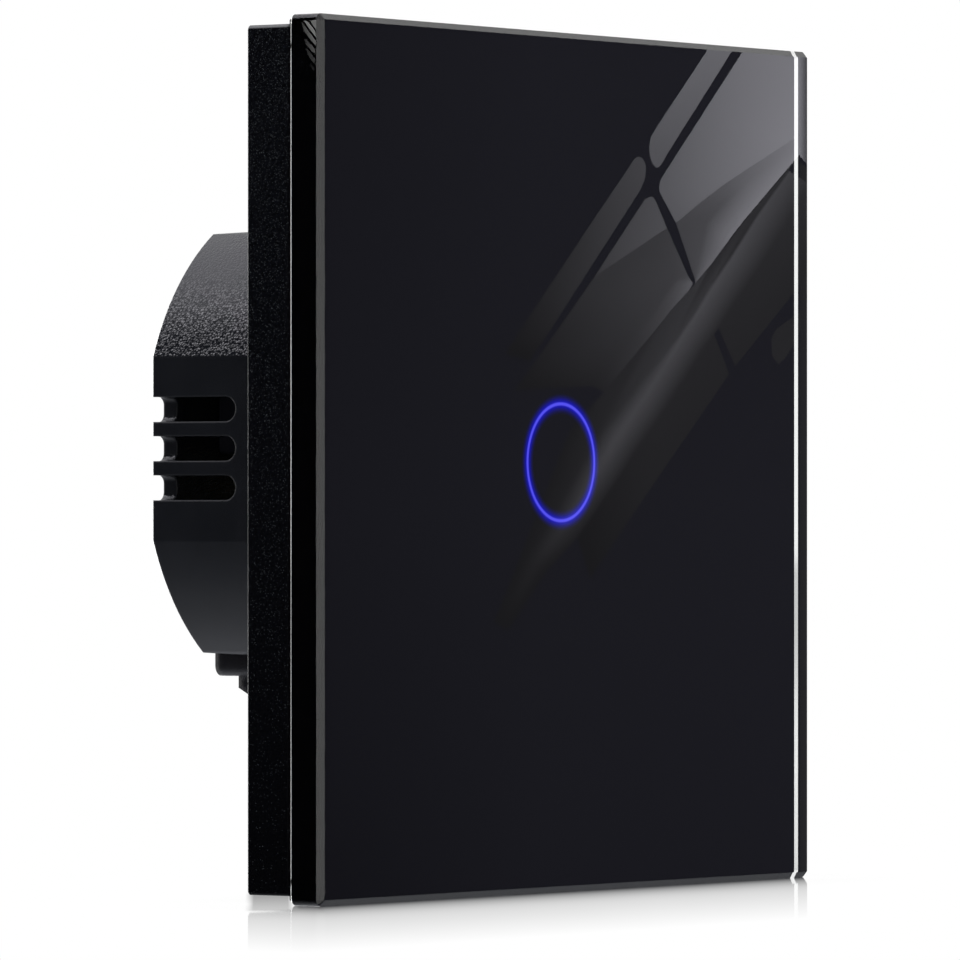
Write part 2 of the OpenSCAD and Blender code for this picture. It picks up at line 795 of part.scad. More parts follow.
// Can capacitor with a rolled groove near its foot and a chamfered top
module smoothing_capacitor() {
    groove = 0.35;
    groove_at = 1.4;
    edge = 0.4;
    color("midnightblue") translate([can_x, board_back_y, can_z]) rotate([-90, 0, 0]) rotate_extrude()
        polygon([[0, 0], [can_r - edge, 0], [can_r, edge], [can_r, groove_at - edge],
            [can_r - groove, groove_at], [can_r, groove_at + edge],
            [can_r, can_h - edge], [can_r - edge, can_h], [0, can_h]]);
}

module film_capacitor() {
    color("goldenrod") along_y(board_back_y, board_back_y + film_h)
        translate([right_x0 + film_l / 2, film_z]) rounded_rect(film_l, film_w, 0.5);
}

// Disc varistor that stands on its edge
module varistor() {
    color("royalblue") translate([disc_x, board_back_y + disc_r, can_z - disc_t / 2])
        cylinder(r = disc_r, h = disc_t);
}

// Tube fuse that stands on end, with a cap at each end
module fuse() {
    cap_l = 2;
    cap_rim = 0.15;
    color("ivory") translate([fuse_x, board_back_y, can_z]) rotate([-90, 0, 0]) rotate_extrude()
        polygon([[0, 0], [fuse_r, 0], [fuse_r, cap_l], [fuse_r - cap_rim, cap_l],
            [fuse_r - cap_rim, fuse_l - cap_l], [fuse_r, fuse_l - cap_l], [fuse_r, fuse_l], [0, fuse_l]]);
}

// Transformer: a three-legged core with its coil round the middle leg
module transformer_core() {
    x = right_x0 + transformer_l / 2;
    side = (transformer_l - 2 * core_leg) / 4 + core_leg / 4;
    color("#3a3a3d") translate([x, board_back_y, transformer_z - transformer_w / 4]) difference() {
        block([-transformer_l / 2, 0, 0], [transformer_l / 2, transformer_h, transformer_w / 2]);
        for (s = [-1, 1])
            translate([s * side, 0, 0])
                block([core_leg / 4 - transformer_l / 8, core_leg, -past],
                    [transformer_l / 8 - core_leg / 4, transformer_h - core_leg, transformer_w / 2 + past]);
    }
}

module transformer_coil() {
    x = right_x0 + transformer_l / 2;
    side = (transformer_l - 2 * core_leg) / 4 + core_leg / 4;
    window = transformer_l / 4 - core_leg / 2;
    leg = side - window / 2 + run_gap;
    reach = side + window / 2 - run_gap;
    gap = run_gap;
    color("peru") translate([x, board_back_y, transformer_z]) difference() {
        block([-reach, core_leg + gap, -transformer_w / 2],
            [reach, transformer_h - core_leg - gap, transformer_w / 2]);
        block([-leg, core_leg - past, -transformer_w / 4 - gap],
            [leg, transformer_h - core_leg + past, transformer_w / 4 + gap]);
    }
}

// Relay: a base and a case round a coil, a hinged armature and one pair of contacts
module relay_base() {
    inset = relay_wall + relay_seat;
    color("#202022") at_relay()
        block([inset, 0, inset - relay_w / 2], [relay_l - inset, relay_base_t, relay_w / 2 - inset]);
}

module relay_case() {
    color("#1f3a6e") at_relay() difference() {
        along_y(0, relay_h) translate([relay_l / 2, 0]) rounded_rect(relay_l, relay_w, 0.5);
        block([relay_wall, -past, relay_wall - relay_w / 2],
            [relay_l - relay_wall, relay_h - relay_wall, relay_w / 2 - relay_wall]);
    }
}

module relay_yoke() {
    color("silver") at_relay() {
        block([yoke_u, relay_base_t, -yoke_w / 2], [pivot_u, yoke_top_h, yoke_w / 2]);
        block([yoke_u, relay_base_t, -yoke_w / 2], [pivot_u + yoke_foot_l, coil_h0, yoke_w / 2]);
    }
}

module relay_core() {
    color("gray") at_relay() translate([pivot_u + core_arm, 0, 0]) {
        rod_y(core_r, coil_h0, pole_top_h);
        rod_y(pole_r, coil_h1, pole_top_h);
    }
}

module relay_bobbin() {
    color("ivory") at_relay() translate([pivot_u + core_arm, 0, 0]) rotate([-90, 0, 0]) rotate_extrude()
        polygon([[core_r + run_gap, coil_h0], [flange_r, coil_h0], [flange_r, coil_h0 + flange_t],
            [spool_r, coil_h0 + flange_t], [spool_r, coil_h1 - flange_t], [flange_r, coil_h1 - flange_t],
            [flange_r, coil_h1], [core_r + run_gap, coil_h1]]);
}

module relay_winding() {
    color("peru") at_relay() translate([pivot_u + core_arm, 0, 0])
        along_y(coil_h0 + flange_t, coil_h1 - flange_t) ring_outline(flange_r - seat_gap, spool_r);
}

module relay_armature() {
    tail = 1.1;
    color("gray") at_relay()
        block([pivot_u - tail, armature_h0, -armature_w / 2],
            [pivot_u + armature_l - tail, armature_h0 + armature_t, armature_w / 2]);
}

// Spring blade on the armature, with the moving contact under its free end
module relay_contact_blade() {
    blade_h0 = armature_h0 + armature_t;
    color("goldenrod") at_relay() {
        block([pivot_u + 0.4, blade_h0, -blade_w / 2],
            [pivot_u + contact_arm + contact_r + 0.3, blade_h0 + blade_t, blade_w / 2]);
        translate([pivot_u + contact_arm, 0, 0])
            rod_y(contact_r, blade_h0 - contact_t, blade_h0 + blade_t / 2);
    }
}

// Fixed contact on an angle that stands on the base
module relay_fixed_contact() {
    button_t = 0.6;
    post_u = pivot_u + contact_arm + contact_r + seat_gap;
    tab_h1 = fixed_top_h - button_t;
    color("darkgoldenrod") at_relay() {
        block([post_u, relay_base_t, -tab_w / 2], [post_u + tab_t, tab_h1, tab_w / 2]);
        block([post_u - 2 * contact_r - tab_t, tab_h1 - tab_t, -tab_w / 2],
            [post_u + tab_t, tab_h1, tab_w / 2]);
        translate([pivot_u + contact_arm, 0, 0]) rod_y(contact_r, tab_h1 - tab_t / 2, fixed_top_h);
    }
}

function pole_x(i) = (i - 2) * pole_pitch;

// Terminal block: three cells open to the back for the screws and to the bottom for the wires
module terminal_block() {
    mid_z = (block_z0 + block_z1) / 2;
    color("#141416") difference() {
        union() {
            along_y(board_back_y, body_depth)
                translate([0, mid_z]) rounded_rect(block_w, block_h, block_round);
            along_y(board_back_y, body_depth) translate([0, mid_z + block_round])
                square([block_w, block_h - 2 * block_round], center = true);
            along_x(block_round - block_w / 2, block_w / 2 - block_round)
                polygon([[guide_front_y, mid_z], [guide_front_y, block_z0 - guide_drop],
                    [guide_back_y - guide_slope, block_z0 - guide_drop],
                    [guide_back_y, block_z0 - guide_drop + guide_chamfer], [guide_back_y, mid_z]]);
        }
        for (i = [1 : 3]) translate([pole_x(i), 0, 0]) {
            block([-cell_w / 2, cell_front_y, term_z - cell_h / 2],
                [cell_w / 2, cell_back_y, term_z + cell_h / 2]);
            translate([0, wire_y, block_z0 - guide_drop - past])
                cylinder(d = wire_d, h = guide_drop + past + entry_len + cell_h / 2);
            translate([0, 0, term_z]) {
                rod_y(term_screw_d / 2 + run_gap, cell_back_y - past, head_seat_y + past);
                rod_y(term_head_d / 2 + seat_gap, head_seat_y, body_depth - lip_t);
                rod_y(term_head_d / 2 - seat_gap, head_seat_y, body_depth + past);
            }
            bar_plate(busbar_gap);
            bar_leg(busbar_gap);
        }
    }
}

// The flat of a bar, inside the clamp and up to its bend
module bar_plate(gap) {
    block([-busbar_w / 2 - gap, busbar_front_y - gap, term_z - clamp_h / 2],
        [busbar_w / 2 + gap, busbar_back_y + gap, busbar_top_z + gap]);
}

// The leg of a bar, from its bend through the power board
module bar_leg(gap) {
    block([-busbar_w / 2 - gap, busbar_end_y, busbar_top_z - busbar_t - gap],
        [busbar_w / 2 + gap, busbar_back_y + gap, busbar_top_z + gap]);
}

module busbars() {
    color("darkgoldenrod") for (i = [1 : 3]) translate([pole_x(i), 0, 0]) {
        bar_plate(0);
        bar_leg(0);
    }
}

// Rising clamp: a threaded back wall, two sides and a floor round the wire
module terminal_clamp(i) {
    color("khaki") translate([pole_x(i), 0, term_z]) difference() {
        block([-clamp_w / 2, clamp_front_y, -clamp_h / 2], [clamp_w / 2, clamp_back_y, clamp_h / 2]);
        block([clamp_side_t - clamp_w / 2, window_front_y, -clamp_h / 2 - past],
            [clamp_w / 2 - clamp_side_t, window_back_y, clamp_h / 2 + past]);
        rod_y(term_screw_d / 2 + run_gap, window_back_y - past / 2, clamp_back_y + past);
    }
}

// Terminal screw, with a slotted head held behind the block's lip
module terminal_screw(i) {
    slot_w = 0.9;
    slot_t = 1;
    tip_y = busbar_back_y + 0.1;
    color("gold") translate([pole_x(i), 0, term_z]) difference() {
        union() {
            rod_y(term_head_d / 2, head_back_y - term_head_h, head_back_y);
            rod_y(term_screw_d / 2, tip_y, head_back_y - term_head_h / 2);
        }
        block([-term_head_d, head_back_y - slot_t, -slot_w / 2],
            [term_head_d, head_back_y + past, slot_w / 2]);
    }
}

glass_panel();
print_film();
ring_window();
bond_tape();
panel_frame();
mounting_plate();
module_cover();
housing_screws();
touch_board();
touch_chip();
touch_electrode();
indicator_leds();
light_ring();
header_strip();
header_pins();
header_socket();
power_board();
supply_chip();
bridge_rectifier();
smoothing_capacitor();
film_capacitor();
varistor();
fuse();
transformer_core();
transformer_coil();
relay_base();
relay_case();
relay_yoke();
relay_core();
relay_bobbin();
relay_winding();
relay_armature();
relay_contact_blade();
relay_fixed_contact();
rear_housing();
terminal_block();
busbars();
terminal_clamp(1);  // terminal_clamp_1
terminal_clamp(2);  // terminal_clamp_2
terminal_clamp(3);  // terminal_clamp_3
terminal_screw(1);  // terminal_screw_1
terminal_screw(2);  // terminal_screw_2
terminal_screw(3);  // terminal_screw_3
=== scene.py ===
import bpy
import numpy as np
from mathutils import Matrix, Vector


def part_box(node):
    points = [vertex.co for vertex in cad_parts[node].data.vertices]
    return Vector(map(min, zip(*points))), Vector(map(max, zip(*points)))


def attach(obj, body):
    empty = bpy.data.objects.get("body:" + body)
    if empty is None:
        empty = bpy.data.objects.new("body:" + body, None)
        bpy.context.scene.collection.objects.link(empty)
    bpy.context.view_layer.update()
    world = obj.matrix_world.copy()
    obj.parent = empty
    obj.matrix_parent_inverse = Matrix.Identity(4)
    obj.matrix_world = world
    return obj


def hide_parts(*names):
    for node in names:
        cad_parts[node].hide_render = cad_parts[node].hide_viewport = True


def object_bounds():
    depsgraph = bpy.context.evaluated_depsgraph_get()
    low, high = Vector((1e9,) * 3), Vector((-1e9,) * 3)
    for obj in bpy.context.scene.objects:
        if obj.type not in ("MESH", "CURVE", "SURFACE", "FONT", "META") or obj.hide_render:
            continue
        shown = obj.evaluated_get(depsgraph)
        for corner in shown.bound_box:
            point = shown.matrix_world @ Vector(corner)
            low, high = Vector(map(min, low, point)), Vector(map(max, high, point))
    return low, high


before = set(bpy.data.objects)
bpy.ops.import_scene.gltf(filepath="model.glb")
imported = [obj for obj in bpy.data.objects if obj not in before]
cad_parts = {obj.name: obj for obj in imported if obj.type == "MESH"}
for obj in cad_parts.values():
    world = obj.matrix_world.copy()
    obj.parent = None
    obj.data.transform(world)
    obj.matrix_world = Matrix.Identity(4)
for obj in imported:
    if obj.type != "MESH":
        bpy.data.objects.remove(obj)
cad_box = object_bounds()

# Rear housing: the round body that goes into the wall box. It is moulded in black plastic, and its mould
# was spark-eroded, so the round wall has an even pebbled grain while the flats and slots are smoother.


def finish(name):
    """A new material with one Principled shader. Gives the material, its node tree and the shader."""
    mat = bpy.data.materials.new(name)
    mat.use_nodes = True
    return mat, mat.node_tree, mat.node_tree.nodes["Principled BSDF"]


def put(tree, kind, inputs=(), **options):
    """Adds a shader node. inputs go by name or in order: a socket is linked, a value is set, None is left."""
    made = tree.nodes.new("ShaderNode" + kind)
    for option, value in options.items():
        setattr(made, option, value)
    for key, value in inputs.items() if isinstance(inputs, dict) else enumerate(inputs):
        if isinstance(value, bpy.types.NodeSocket):
            tree.links.new(value, made.inputs[key])
        elif value is not None:
            made.inputs[key].default_value = value
    return made


def blend_colours(tree, share, low, high):
    """The colour that goes from low to high as share goes from 0 to 1."""
    ramp = put(tree, "ValToRGB", [share])
    ramp.color_ramp.elements[0].color = (*low, 1)
    ramp.color_ramp.elements[1].color = (*high, 1)
    return ramp.outputs["Color"]


def remap(tree, value, start, end, low, high):
    """The number that goes from low to high as value goes from start to end, and stays level beyond them."""
    return put(tree, "MapRange", [value, start, end, low, high]).outputs["Result"]


def spread(tree, share, low, high):
    """The number that goes from low to high as share goes from 0 to 1."""
    return remap(tree, share, 0, 1, low, high)


def times(tree, one, other):
    """The product of two numbers."""
    return put(tree, "Math", [one, other], operation="MULTIPLY").outputs[0]


def noise(tree, place, scale, detail):
    """Cloudy noise between 0 and 1: scale is its waves to the metre, detail the finer layers on them."""
    return put(tree, "TexNoise", {"Vector": place, "Scale": scale, "Detail": detail}).outputs["Fac"]


def emboss(tree, skin, height, depth, strength=1, edge=0):
    """Raises the surface by height times depth. With edge, its edges are first rounded by that radius."""
    bump = put(tree, "Bump", {"Strength": strength, "Distance": depth, "Height": height})
    if edge:
        rounded = put(tree, "Bevel", {"Radius": edge}, samples=6)
        tree.links.new(rounded.outputs["Normal"], bump.inputs["Normal"])
    tree.links.new(bump.outputs["Normal"], skin.inputs["Normal"])


def moulded(name, colour, rough, grain, depth, edge, calm=1.0, glint_gloss=0.0):
    """Moulded plastic: colour and roughness waver slowly over the piece. Its grain is pebbles of the given
    size and depth, the cells of a Voronoi pattern with fine noise on them, and edges are rounded by the
    radius edge. On faces that look along X or down, the grain keeps only the share calm of its depth. The
    last argument gives a painted glint and shade: where the surface leans upward by about 15 to 37 degrees,
    as toward light from above, a pebble's top is glossier than the dip round it, each by a lot of its own."""
    mat, tree, skin = finish(name)
    spot = put(tree, "TexCoord")
    place = spot.outputs["Object"]
    slow = noise(tree, place, 260, 4)
    cells = put(tree, "TexVoronoi", {"Vector": place, "Scale": 1 / grain})
    pebble = cells.outputs["Distance"]
    fine = noise(tree, place, 2.3 / grain, 0)
    height = put(tree, "Math", [fine, 0.25, times(tree, pebble, -1)], operation="MULTIPLY_ADD").outputs[0]
    facing = put(tree, "SeparateXYZ", [spot.outputs["Normal"]])
    lean = facing.outputs["Z"]
    aside = put(tree, "Math", [facing.outputs["X"]], operation="ABSOLUTE").outputs[0]
    flat = remap(tree, aside, 0.95, 0.99, 1, calm)
    upper = remap(tree, lean, -0.2, 0.1, calm, 1)
    kept = put(tree, "Math", [flat, upper], operation="MINIMUM").outputs[0]
    grown = times(tree, height, kept)
    # Painted glint and shade: in the band that leans upward, toward light from above, gloss rises on pebble
    # tops and falls in the dips.
    if glint_gloss:
        plain_gloss = 0.45
        lot = put(tree, "SeparateColor", [cells.outputs["Color"]]).outputs["Red"]
        top = remap(tree, pebble, 0.3, 0.7, 1, 0)
        glint = times(tree, top, lot)
        dip = remap(tree, lean, 0.52, 0.4, -0.7 * glint_gloss, -1.1 * glint_gloss)
        lift = remap(tree, glint, 0, 1, dip, 3 * glint_gloss)
        leaning = remap(tree, lean, 0.7, 0.5, 0, 1)
        inside = remap(tree, lean, 0.2, 0.34, 0, 1)
        painted_highlight = times(tree, leaning, inside)
        gloss = put(tree, "Math", [lift, painted_highlight, plain_gloss], operation="MULTIPLY_ADD").outputs[0]
        tree.links.new(gloss, skin.inputs["Specular IOR Level"])
    dark, light = [[c * k for c in colour] for k in (0.75, 1.3)]
    tree.links.new(blend_colours(tree, slow, dark, light), skin.inputs["Base Color"])
    tree.links.new(spread(tree, slow, rough - 0.06, rough + 0.06), skin.inputs["Roughness"])
    emboss(tree, skin, grown, depth, edge=edge)
    return mat


def dress(mat, *names):
    """Gives a finish to the CAD nodes with these names."""
    for name in names:
        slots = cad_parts[name].data.materials
        slots.clear()
        slots.append(mat)


# The housing's last number sets its painted glint: more gloss on the pebble tops of the upward-leaning round
# wall.
dress(moulded("housing_plastic", (0.0088, 0.0098, 0.013), 0.22, 0.00021, 0.00004, 0.0003, 0.1, 0.45),
      "rear_housing")

# Terminal block: a separate moulding with three cells, screwed from the back and wired from below.
# It is a tougher, slightly glossier black resin than the housing round it.
dress(moulded("terminal_resin", (0.013, 0.013, 0.016), 0.2, 0.0002, 0.00001, 0.0011), "terminal_block")

# Terminals: copper bars lead from the board into brass clamps, and zinc-plated screws draw the clamps up.
# All are cut or turned metal, with fine tool lines along one way.


def tooled_metal(name, colour, rough, lines, across):
    """Cut or brushed metal: noise with lines waves to the metre, squeezed by the factor across on each axis,
    makes fine lines in the roughness and a shallow bump. A slower noise clouds the colour."""
    mat, tree, skin = finish(name)
    place = put(tree, "TexCoord").outputs["Object"]
    drawn = put(tree, "Mapping", {"Vector": place, "Scale": across}).outputs["Vector"]
    streak = noise(tree, drawn, lines, 3)
    cloud = noise(tree, place, 420, 5)
    dark, light = [[min(1, c * k) for c in colour] for k in (0.82, 1.1)]
    tree.links.new(blend_colours(tree, cloud, dark, light), skin.inputs["Base Color"])
    tree.links.new(spread(tree, streak, rough - 0.1, rough + 0.14), skin.inputs["Roughness"])
    skin.inputs["Metallic"].default_value = 1
    emboss(tree, skin, streak, depth=0.000006, strength=0.6, edge=0.00008)
    return mat


dress(tooled_metal("copper_bar", (0.72, 0.42, 0.24), 0.34, 900, (6, 1, 1)), "busbars")
dress(tooled_metal("clamp_brass", (0.74, 0.58, 0.3), 0.36, 900, (1, 6, 1)),
      "terminal_clamp_1", "terminal_clamp_2", "terminal_clamp_3")
dress(tooled_metal("zinc_screw", (0.66, 0.66, 0.64), 0.3, 1200, (1, 5, 1)),
      "terminal_screw_1", "terminal_screw_2", "terminal_screw_3")

# Power board: glass laminate under green solder mask, with copper tracks that show through it.
# The parts of the supply stand on it.


def masked_board(name, mask, track, pitch):
    """Printed board: square cells of a Voronoi pattern, pitch apart, give the tracks' edges, a coarser one
    gives the round pads, and the mask is lighter and slightly raised over copper."""
    mat, tree, skin = finish(name)
    place = put(tree, "TexCoord").outputs["Object"]
    flat = put(tree, "Mapping", {"Vector": place, "Scale": (1, 0, 1)}).outputs["Vector"]
    cells = put(tree, "TexVoronoi", {"Vector": flat, "Scale": 1 / pitch, "Randomness": 0.8},
                distance="CHEBYCHEV", feature="F1")
    lanes = 5.0
    lane = times(tree, cells.outputs["Distance"], lanes)
    wave = put(tree, "Math", [lane, 1.0], operation="PINGPONG").outputs[0]
    copper = remap(tree, wave, 0.45, 0.55, 0, 1)
    pads = put(tree, "TexVoronoi", {"Vector": flat, "Scale": 0.55 / pitch, "Randomness": 1})
    pad = remap(tree, pads.outputs["Distance"], 0.1, 0.08, 0, 1)
    cloud = noise(tree, place, 900, 3)
    green = blend_colours(tree, copper, mask, track)
    tin = (0.62, 0.55, 0.4, 1)
    bare = put(tree, "Mix", {0: pad, 6: green, 7: tin}, data_type="RGBA").outputs[2]
    tree.links.new(bare, skin.inputs["Base Color"])
    tree.links.new(pad, skin.inputs["Metallic"])
    tree.links.new(spread(tree, cloud, 0.26, 0.42), skin.inputs["Roughness"])
    emboss(tree, skin, copper, depth=0.00003, strength=0.5)
    return mat


dress(masked_board("board_laminate", (0.008, 0.07, 0.03), (0.018, 0.15, 0.06), 0.0042), "power_board")

# Parts of the supply: black resin chips, a sleeved can, a potted film capacitor, a dipped disc,
# a ceramic fuse, and a small transformer of pressed ferrite wound with enamelled wire.


def coated(name, colour, rough, ripple, gloss=0.5):
    """Dipped, sleeved or potted resin: a glossy coat whose slow ripple is noise of the given depth, with
    small dust-like specks in its roughness."""
    mat, tree, skin = finish(name)
    place = put(tree, "TexCoord").outputs["Object"]
    slow = noise(tree, place, 520, 2)
    speck = noise(tree, place, 5200, 1)
    dark, light = [[min(1, c * k) for c in colour] for k in (0.85, 1.12)]
    tree.links.new(blend_colours(tree, slow, dark, light), skin.inputs["Base Color"])
    tree.links.new(spread(tree, speck, rough - 0.08, rough + 0.12), skin.inputs["Roughness"])
    skin.inputs["Specular IOR Level"].default_value = gloss
    emboss(tree, skin, slow, ripple, strength=0.5, edge=0.00015)
    return mat


def wound_wire(name, colour, wire, along):
    """Winding: sine bands one wire wide along the axis given by along are the turns, in bump and in colour,
    where painted shade darkens the grooves between them. A wave texture of scale 0.314 has one band to the
    metre."""
    mat, tree, skin = finish(name)
    place = put(tree, "TexCoord").outputs["Object"]
    one_band = 0.314
    turns = put(tree, "TexWave", {"Vector": place, "Scale": one_band / wire, "Distortion": 0.4, "Detail": 1},
                bands_direction=along).outputs["Fac"]
    # Painted shade: the grooves between the turns are darker in colour.
    dark = [c * 0.35 for c in colour]
    tree.links.new(blend_colours(tree, turns, dark, colour), skin.inputs["Base Color"])
    tree.links.new(spread(tree, turns, 0.5, 0.24), skin.inputs["Roughness"])
    skin.inputs["Metallic"].default_value = 0.8
    emboss(tree, skin, turns, depth=wire / 2)
    return mat


dress(moulded("chip_resin", (0.02, 0.02, 0.021), 0.55, 0.00012, 0.000012, 0.00006),
      "supply_chip", "bridge_rectifier", "touch_chip")
dress(coated("can_sleeve", (0.015, 0.022, 0.09), 0.25, 0.00002), "smoothing_capacitor")
dress(coated("film_resin", (0.72, 0.45, 0.08), 0.3, 0.00001), "film_capacitor")
dress(coated("disc_coat", (0.03, 0.13, 0.5), 0.22, 0.00006), "varistor")
dress(coated("fuse_ceramic", (0.78, 0.75, 0.68), 0.3, 0.00001), "fuse")
dress(moulded("ferrite", (0.045, 0.043, 0.042), 0.5, 0.00016, 0.00002, 0.00012), "transformer_core")
dress(wound_wire("coil_wire", (0.72, 0.34, 0.14), 0.0003, "Y"), "transformer_coil")

# Relay: a smoked black case on a resin base. Inside, a bobbin of enamelled wire on an iron core draws a
# hinged armature, which carries the moving contact on a spring blade.
dress(coated("relay_case_smoke", (0.009, 0.0094, 0.0145), 0.5, 0.000002, 0.05), "relay_case")
dress(moulded("relay_resin", (0.02, 0.02, 0.021), 0.45, 0.0002, 0.00001, 0.0001), "relay_base")
dress(tooled_metal("soft_iron", (0.5, 0.5, 0.5), 0.4, 800, (1, 5, 1)),
      "relay_yoke", "relay_core", "relay_armature")
dress(coated("spool_resin", (0.75, 0.72, 0.62), 0.4, 0.000006), "relay_bobbin")
dress(wound_wire("relay_wire", (0.68, 0.3, 0.1), 0.00018, "Y"), "relay_winding")
dress(tooled_metal("spring_bronze", (0.72, 0.5, 0.26), 0.3, 1100, (1, 1, 6)),
      "relay_contact_blade", "relay_fixed_contact")

# Mounting plate: 1.2 mm steel, pressed with a raised middle and zinc-plated. The wall-box screws go
# through its two slots, and the panel's ribs grip its edges.
dress(tooled_metal("zinc_steel", (0.6, 0.61, 0.62), 0.36, 260, (1, 1, 9)), "mounting_plate")

# Module cover and its four screws: a dark tray on the plate that carries the touch board.
dress(moulded("cover_plastic", (0.02, 0.02, 0.022), 0.46, 0.00022, 0.00002, 0.0001), "module_cover")
dress(tooled_metal("case_screw_steel", (0.56, 0.56, 0.55), 0.3, 1400, (1, 1, 1)), "housing_screws")

# Touch board: thin laminate with the sensing chip, a gold-plated pad that senses the finger through the
# glass, four lamps and the milky ring that spreads their light. A five-pin plug joins it to the power board.
dress(masked_board("touch_laminate", (0.007, 0.06, 0.028), (0.015, 0.13, 0.055), 0.003), "touch_board")
dress(tooled_metal("pad_gold", (0.86, 0.62, 0.28), 0.28, 700, (1, 1, 1)), "touch_electrode")
dress(tooled_metal("pin_gold", (0.84, 0.64, 0.32), 0.25, 1500, (1, 5, 1)), "header_pins")
dress(moulded("plug_resin", (0.012, 0.012, 0.013), 0.4, 0.00015, 0.000006, 0.00006),
      "header_strip", "header_socket")


def milky(name, colour, rough):
    """Milky acrylic: a soft translucent white, faintly clouded by noise, with some light spread inside it."""
    mat, tree, skin = finish(name)
    place = put(tree, "TexCoord").outputs["Object"]
    cloud = noise(tree, place, 700, 4)
    dark = [c * 0.9 for c in colour]
    tree.links.new(blend_colours(tree, cloud, dark, colour), skin.inputs["Base Color"])
    tree.links.new(spread(tree, cloud, rough - 0.06, rough + 0.08), skin.inputs["Roughness"])
    skin.inputs["Subsurface Weight"].default_value = 0.4
    skin.inputs["Subsurface Radius"].default_value = (0.001, 0.001, 0.001)
    return mat


dress(milky("white_acrylic", (0.8, 0.82, 0.86), 0.3), "light_ring")
dress(milky("lamp_resin", (0.86, 0.86, 0.7), 0.22), "indicator_leds")

# Panel frame: a shallow matte black tray behind the glass that clips over the plate. Its resin has a dry
# grain, and a few mineral flecks in it catch the light. Painted shade darkens the resin and thins the flecks
# toward the bottom, and a painted highlight lies along the rounded top edges. Black foam tape bonds it to
# the glass.


def flecked(name, low, high, fleck, painted_highlight, rough):
    """Dry black resin: a cloudy noise between the colours low and high, and tiny cells of a Voronoi pattern,
    one in ten to one in a hundred, in the lighter fleck colour. As painted shade, toward the bottom the cloud
    keeps to the low colour and the flecks grow fewer, and a painted highlight in the last colour lies along
    the rounded top edges, where the surface leans upward."""
    mat, tree, skin = finish(name)
    spot = put(tree, "TexCoord")
    place = spot.outputs["Object"]
    grain = noise(tree, place, 4200, 2)
    cloud = noise(tree, place, 2600, 2)
    height = put(tree, "SeparateXYZ", [place]).outputs["Z"]
    bottom, top = -0.035, 0.03
    # Painted shade: toward the bottom the cloud keeps nearer the low colour and the flecks grow fewer, as if
    # lit from above.
    painted_top_light = remap(tree, height, bottom, top, 0, 1)
    clouded = remap(tree, cloud, 0.35, 0.65, 0, painted_top_light)
    body = blend_colours(tree, clouded, low, high)
    cells = put(tree, "TexVoronoi", {"Vector": place, "Scale": 13000})
    lot = put(tree, "SeparateColor", [cells.outputs["Color"]]).outputs["Red"]
    fleck_cut_painted_shade = remap(tree, height, bottom, top, 0.99, 0.9)
    picked = remap(tree, lot, fleck_cut_painted_shade, 1, 0, 1)
    dotted = put(tree, "Mix", {0: picked, 6: body, 7: (*fleck, 1)}, data_type="RGBA").outputs[2]
    # Painted highlight: rounded edges that lean upward take the paler given colour.
    upward = put(tree, "SeparateXYZ", [spot.outputs["Normal"]]).outputs["Z"]
    risen = remap(tree, upward, 0.15, 0.45, 0, 1)
    level_off = remap(tree, upward, 0.8, 0.95, 1, 0)
    edge = times(tree, risen, level_off)
    with_edge_highlight = put(tree, "Mix", {0: edge, 6: dotted, 7: (*painted_highlight, 1)}, data_type="RGBA").outputs[2]
    tree.links.new(with_edge_highlight, skin.inputs["Base Color"])
    tree.links.new(spread(tree, grain, rough - 0.1, rough + 0.1), skin.inputs["Roughness"])
    skin.inputs["Specular IOR Level"].default_value = 0.08
    emboss(tree, skin, grain, depth=0.00005, strength=0.7, edge=0.00012)
    return mat


# The fourth colour is the painted highlight on the rounded top edges.
dress(flecked("frame_plastic", (0.0002, 0.0004, 0.0018), (0.002, 0.0026, 0.0052), (0.06, 0.067, 0.075),
              (0.2, 0.2, 0.21), 0.42), "panel_frame")
dress(moulded("foam_tape", (0.008, 0.008, 0.008), 0.8, 0.0002, 0.00005, 0.00005), "bond_tape")

# Glass: one clear plate with its edges ground to a small bevel, front and back. The faces and sides are
# polished, and the bevels keep a trace of the grinding.
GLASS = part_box("glass_panel")
GLASS_CORNER = 0.00065
FRONT_BEVEL = 0.00055
BACK_BEVEL = 0.0004


def rounded_square(half, corner, steps=9):
    """Points of a rounded square in X and Z, one arc after the other: each is the arc's centre plus the
    radius along the angle, and the angles run once round."""
    quarter = np.arange(4)[:, None] * np.pi / 2
    turn = quarter + np.linspace(0, np.pi / 2, steps)
    diagonal = quarter + np.pi / 4
    hub = (half - corner) * np.sqrt(2) * np.stack([np.cos(diagonal), np.sin(diagonal)], -1)
    return (hub + corner * np.stack([np.cos(turn), np.sin(turn)], -1)).reshape(-1, 2)


def stacked(outlines, depths):
    """A closed skin over outlines that lie one behind the other: outline k lies at depth k along Y, quads
    join neighbours, and the first and the last are filled."""
    behind = np.repeat(depths, len(outlines[0]))
    flat = np.concatenate(outlines)
    at = np.arange(len(flat)).reshape(len(outlines), -1)
    ahead = np.roll(at, -1, 1)
    quads = np.stack([at[:-1], at[1:], ahead[1:], ahead[:-1]], -1).reshape(-1, 4)
    points = np.stack([flat[:, 0], behind, flat[:, 1]], -1)
    return points, [*quads.tolist(), at[0].tolist(), at[-1, ::-1].tolist()]


def add_piece(name, skins, mat, body):
    """A piece from skins of points and faces: one mesh at the origin, on its body, with its finish."""
    starts = np.cumsum([0] + [len(points) for points, faces in skins])
    points = np.concatenate([points for points, faces in skins])
    faces = [[corner + int(start) for corner in face]
             for start, (_, rows) in zip(starts, skins) for face in rows]
    mesh = bpy.data.meshes.new(name)
    mesh.from_pydata(points.tolist(), [], faces)
    mesh.materials.append(mat)
    piece = bpy.data.objects.new(name, mesh)
    bpy.context.scene.collection.objects.link(piece)
    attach(piece, body)
    return piece


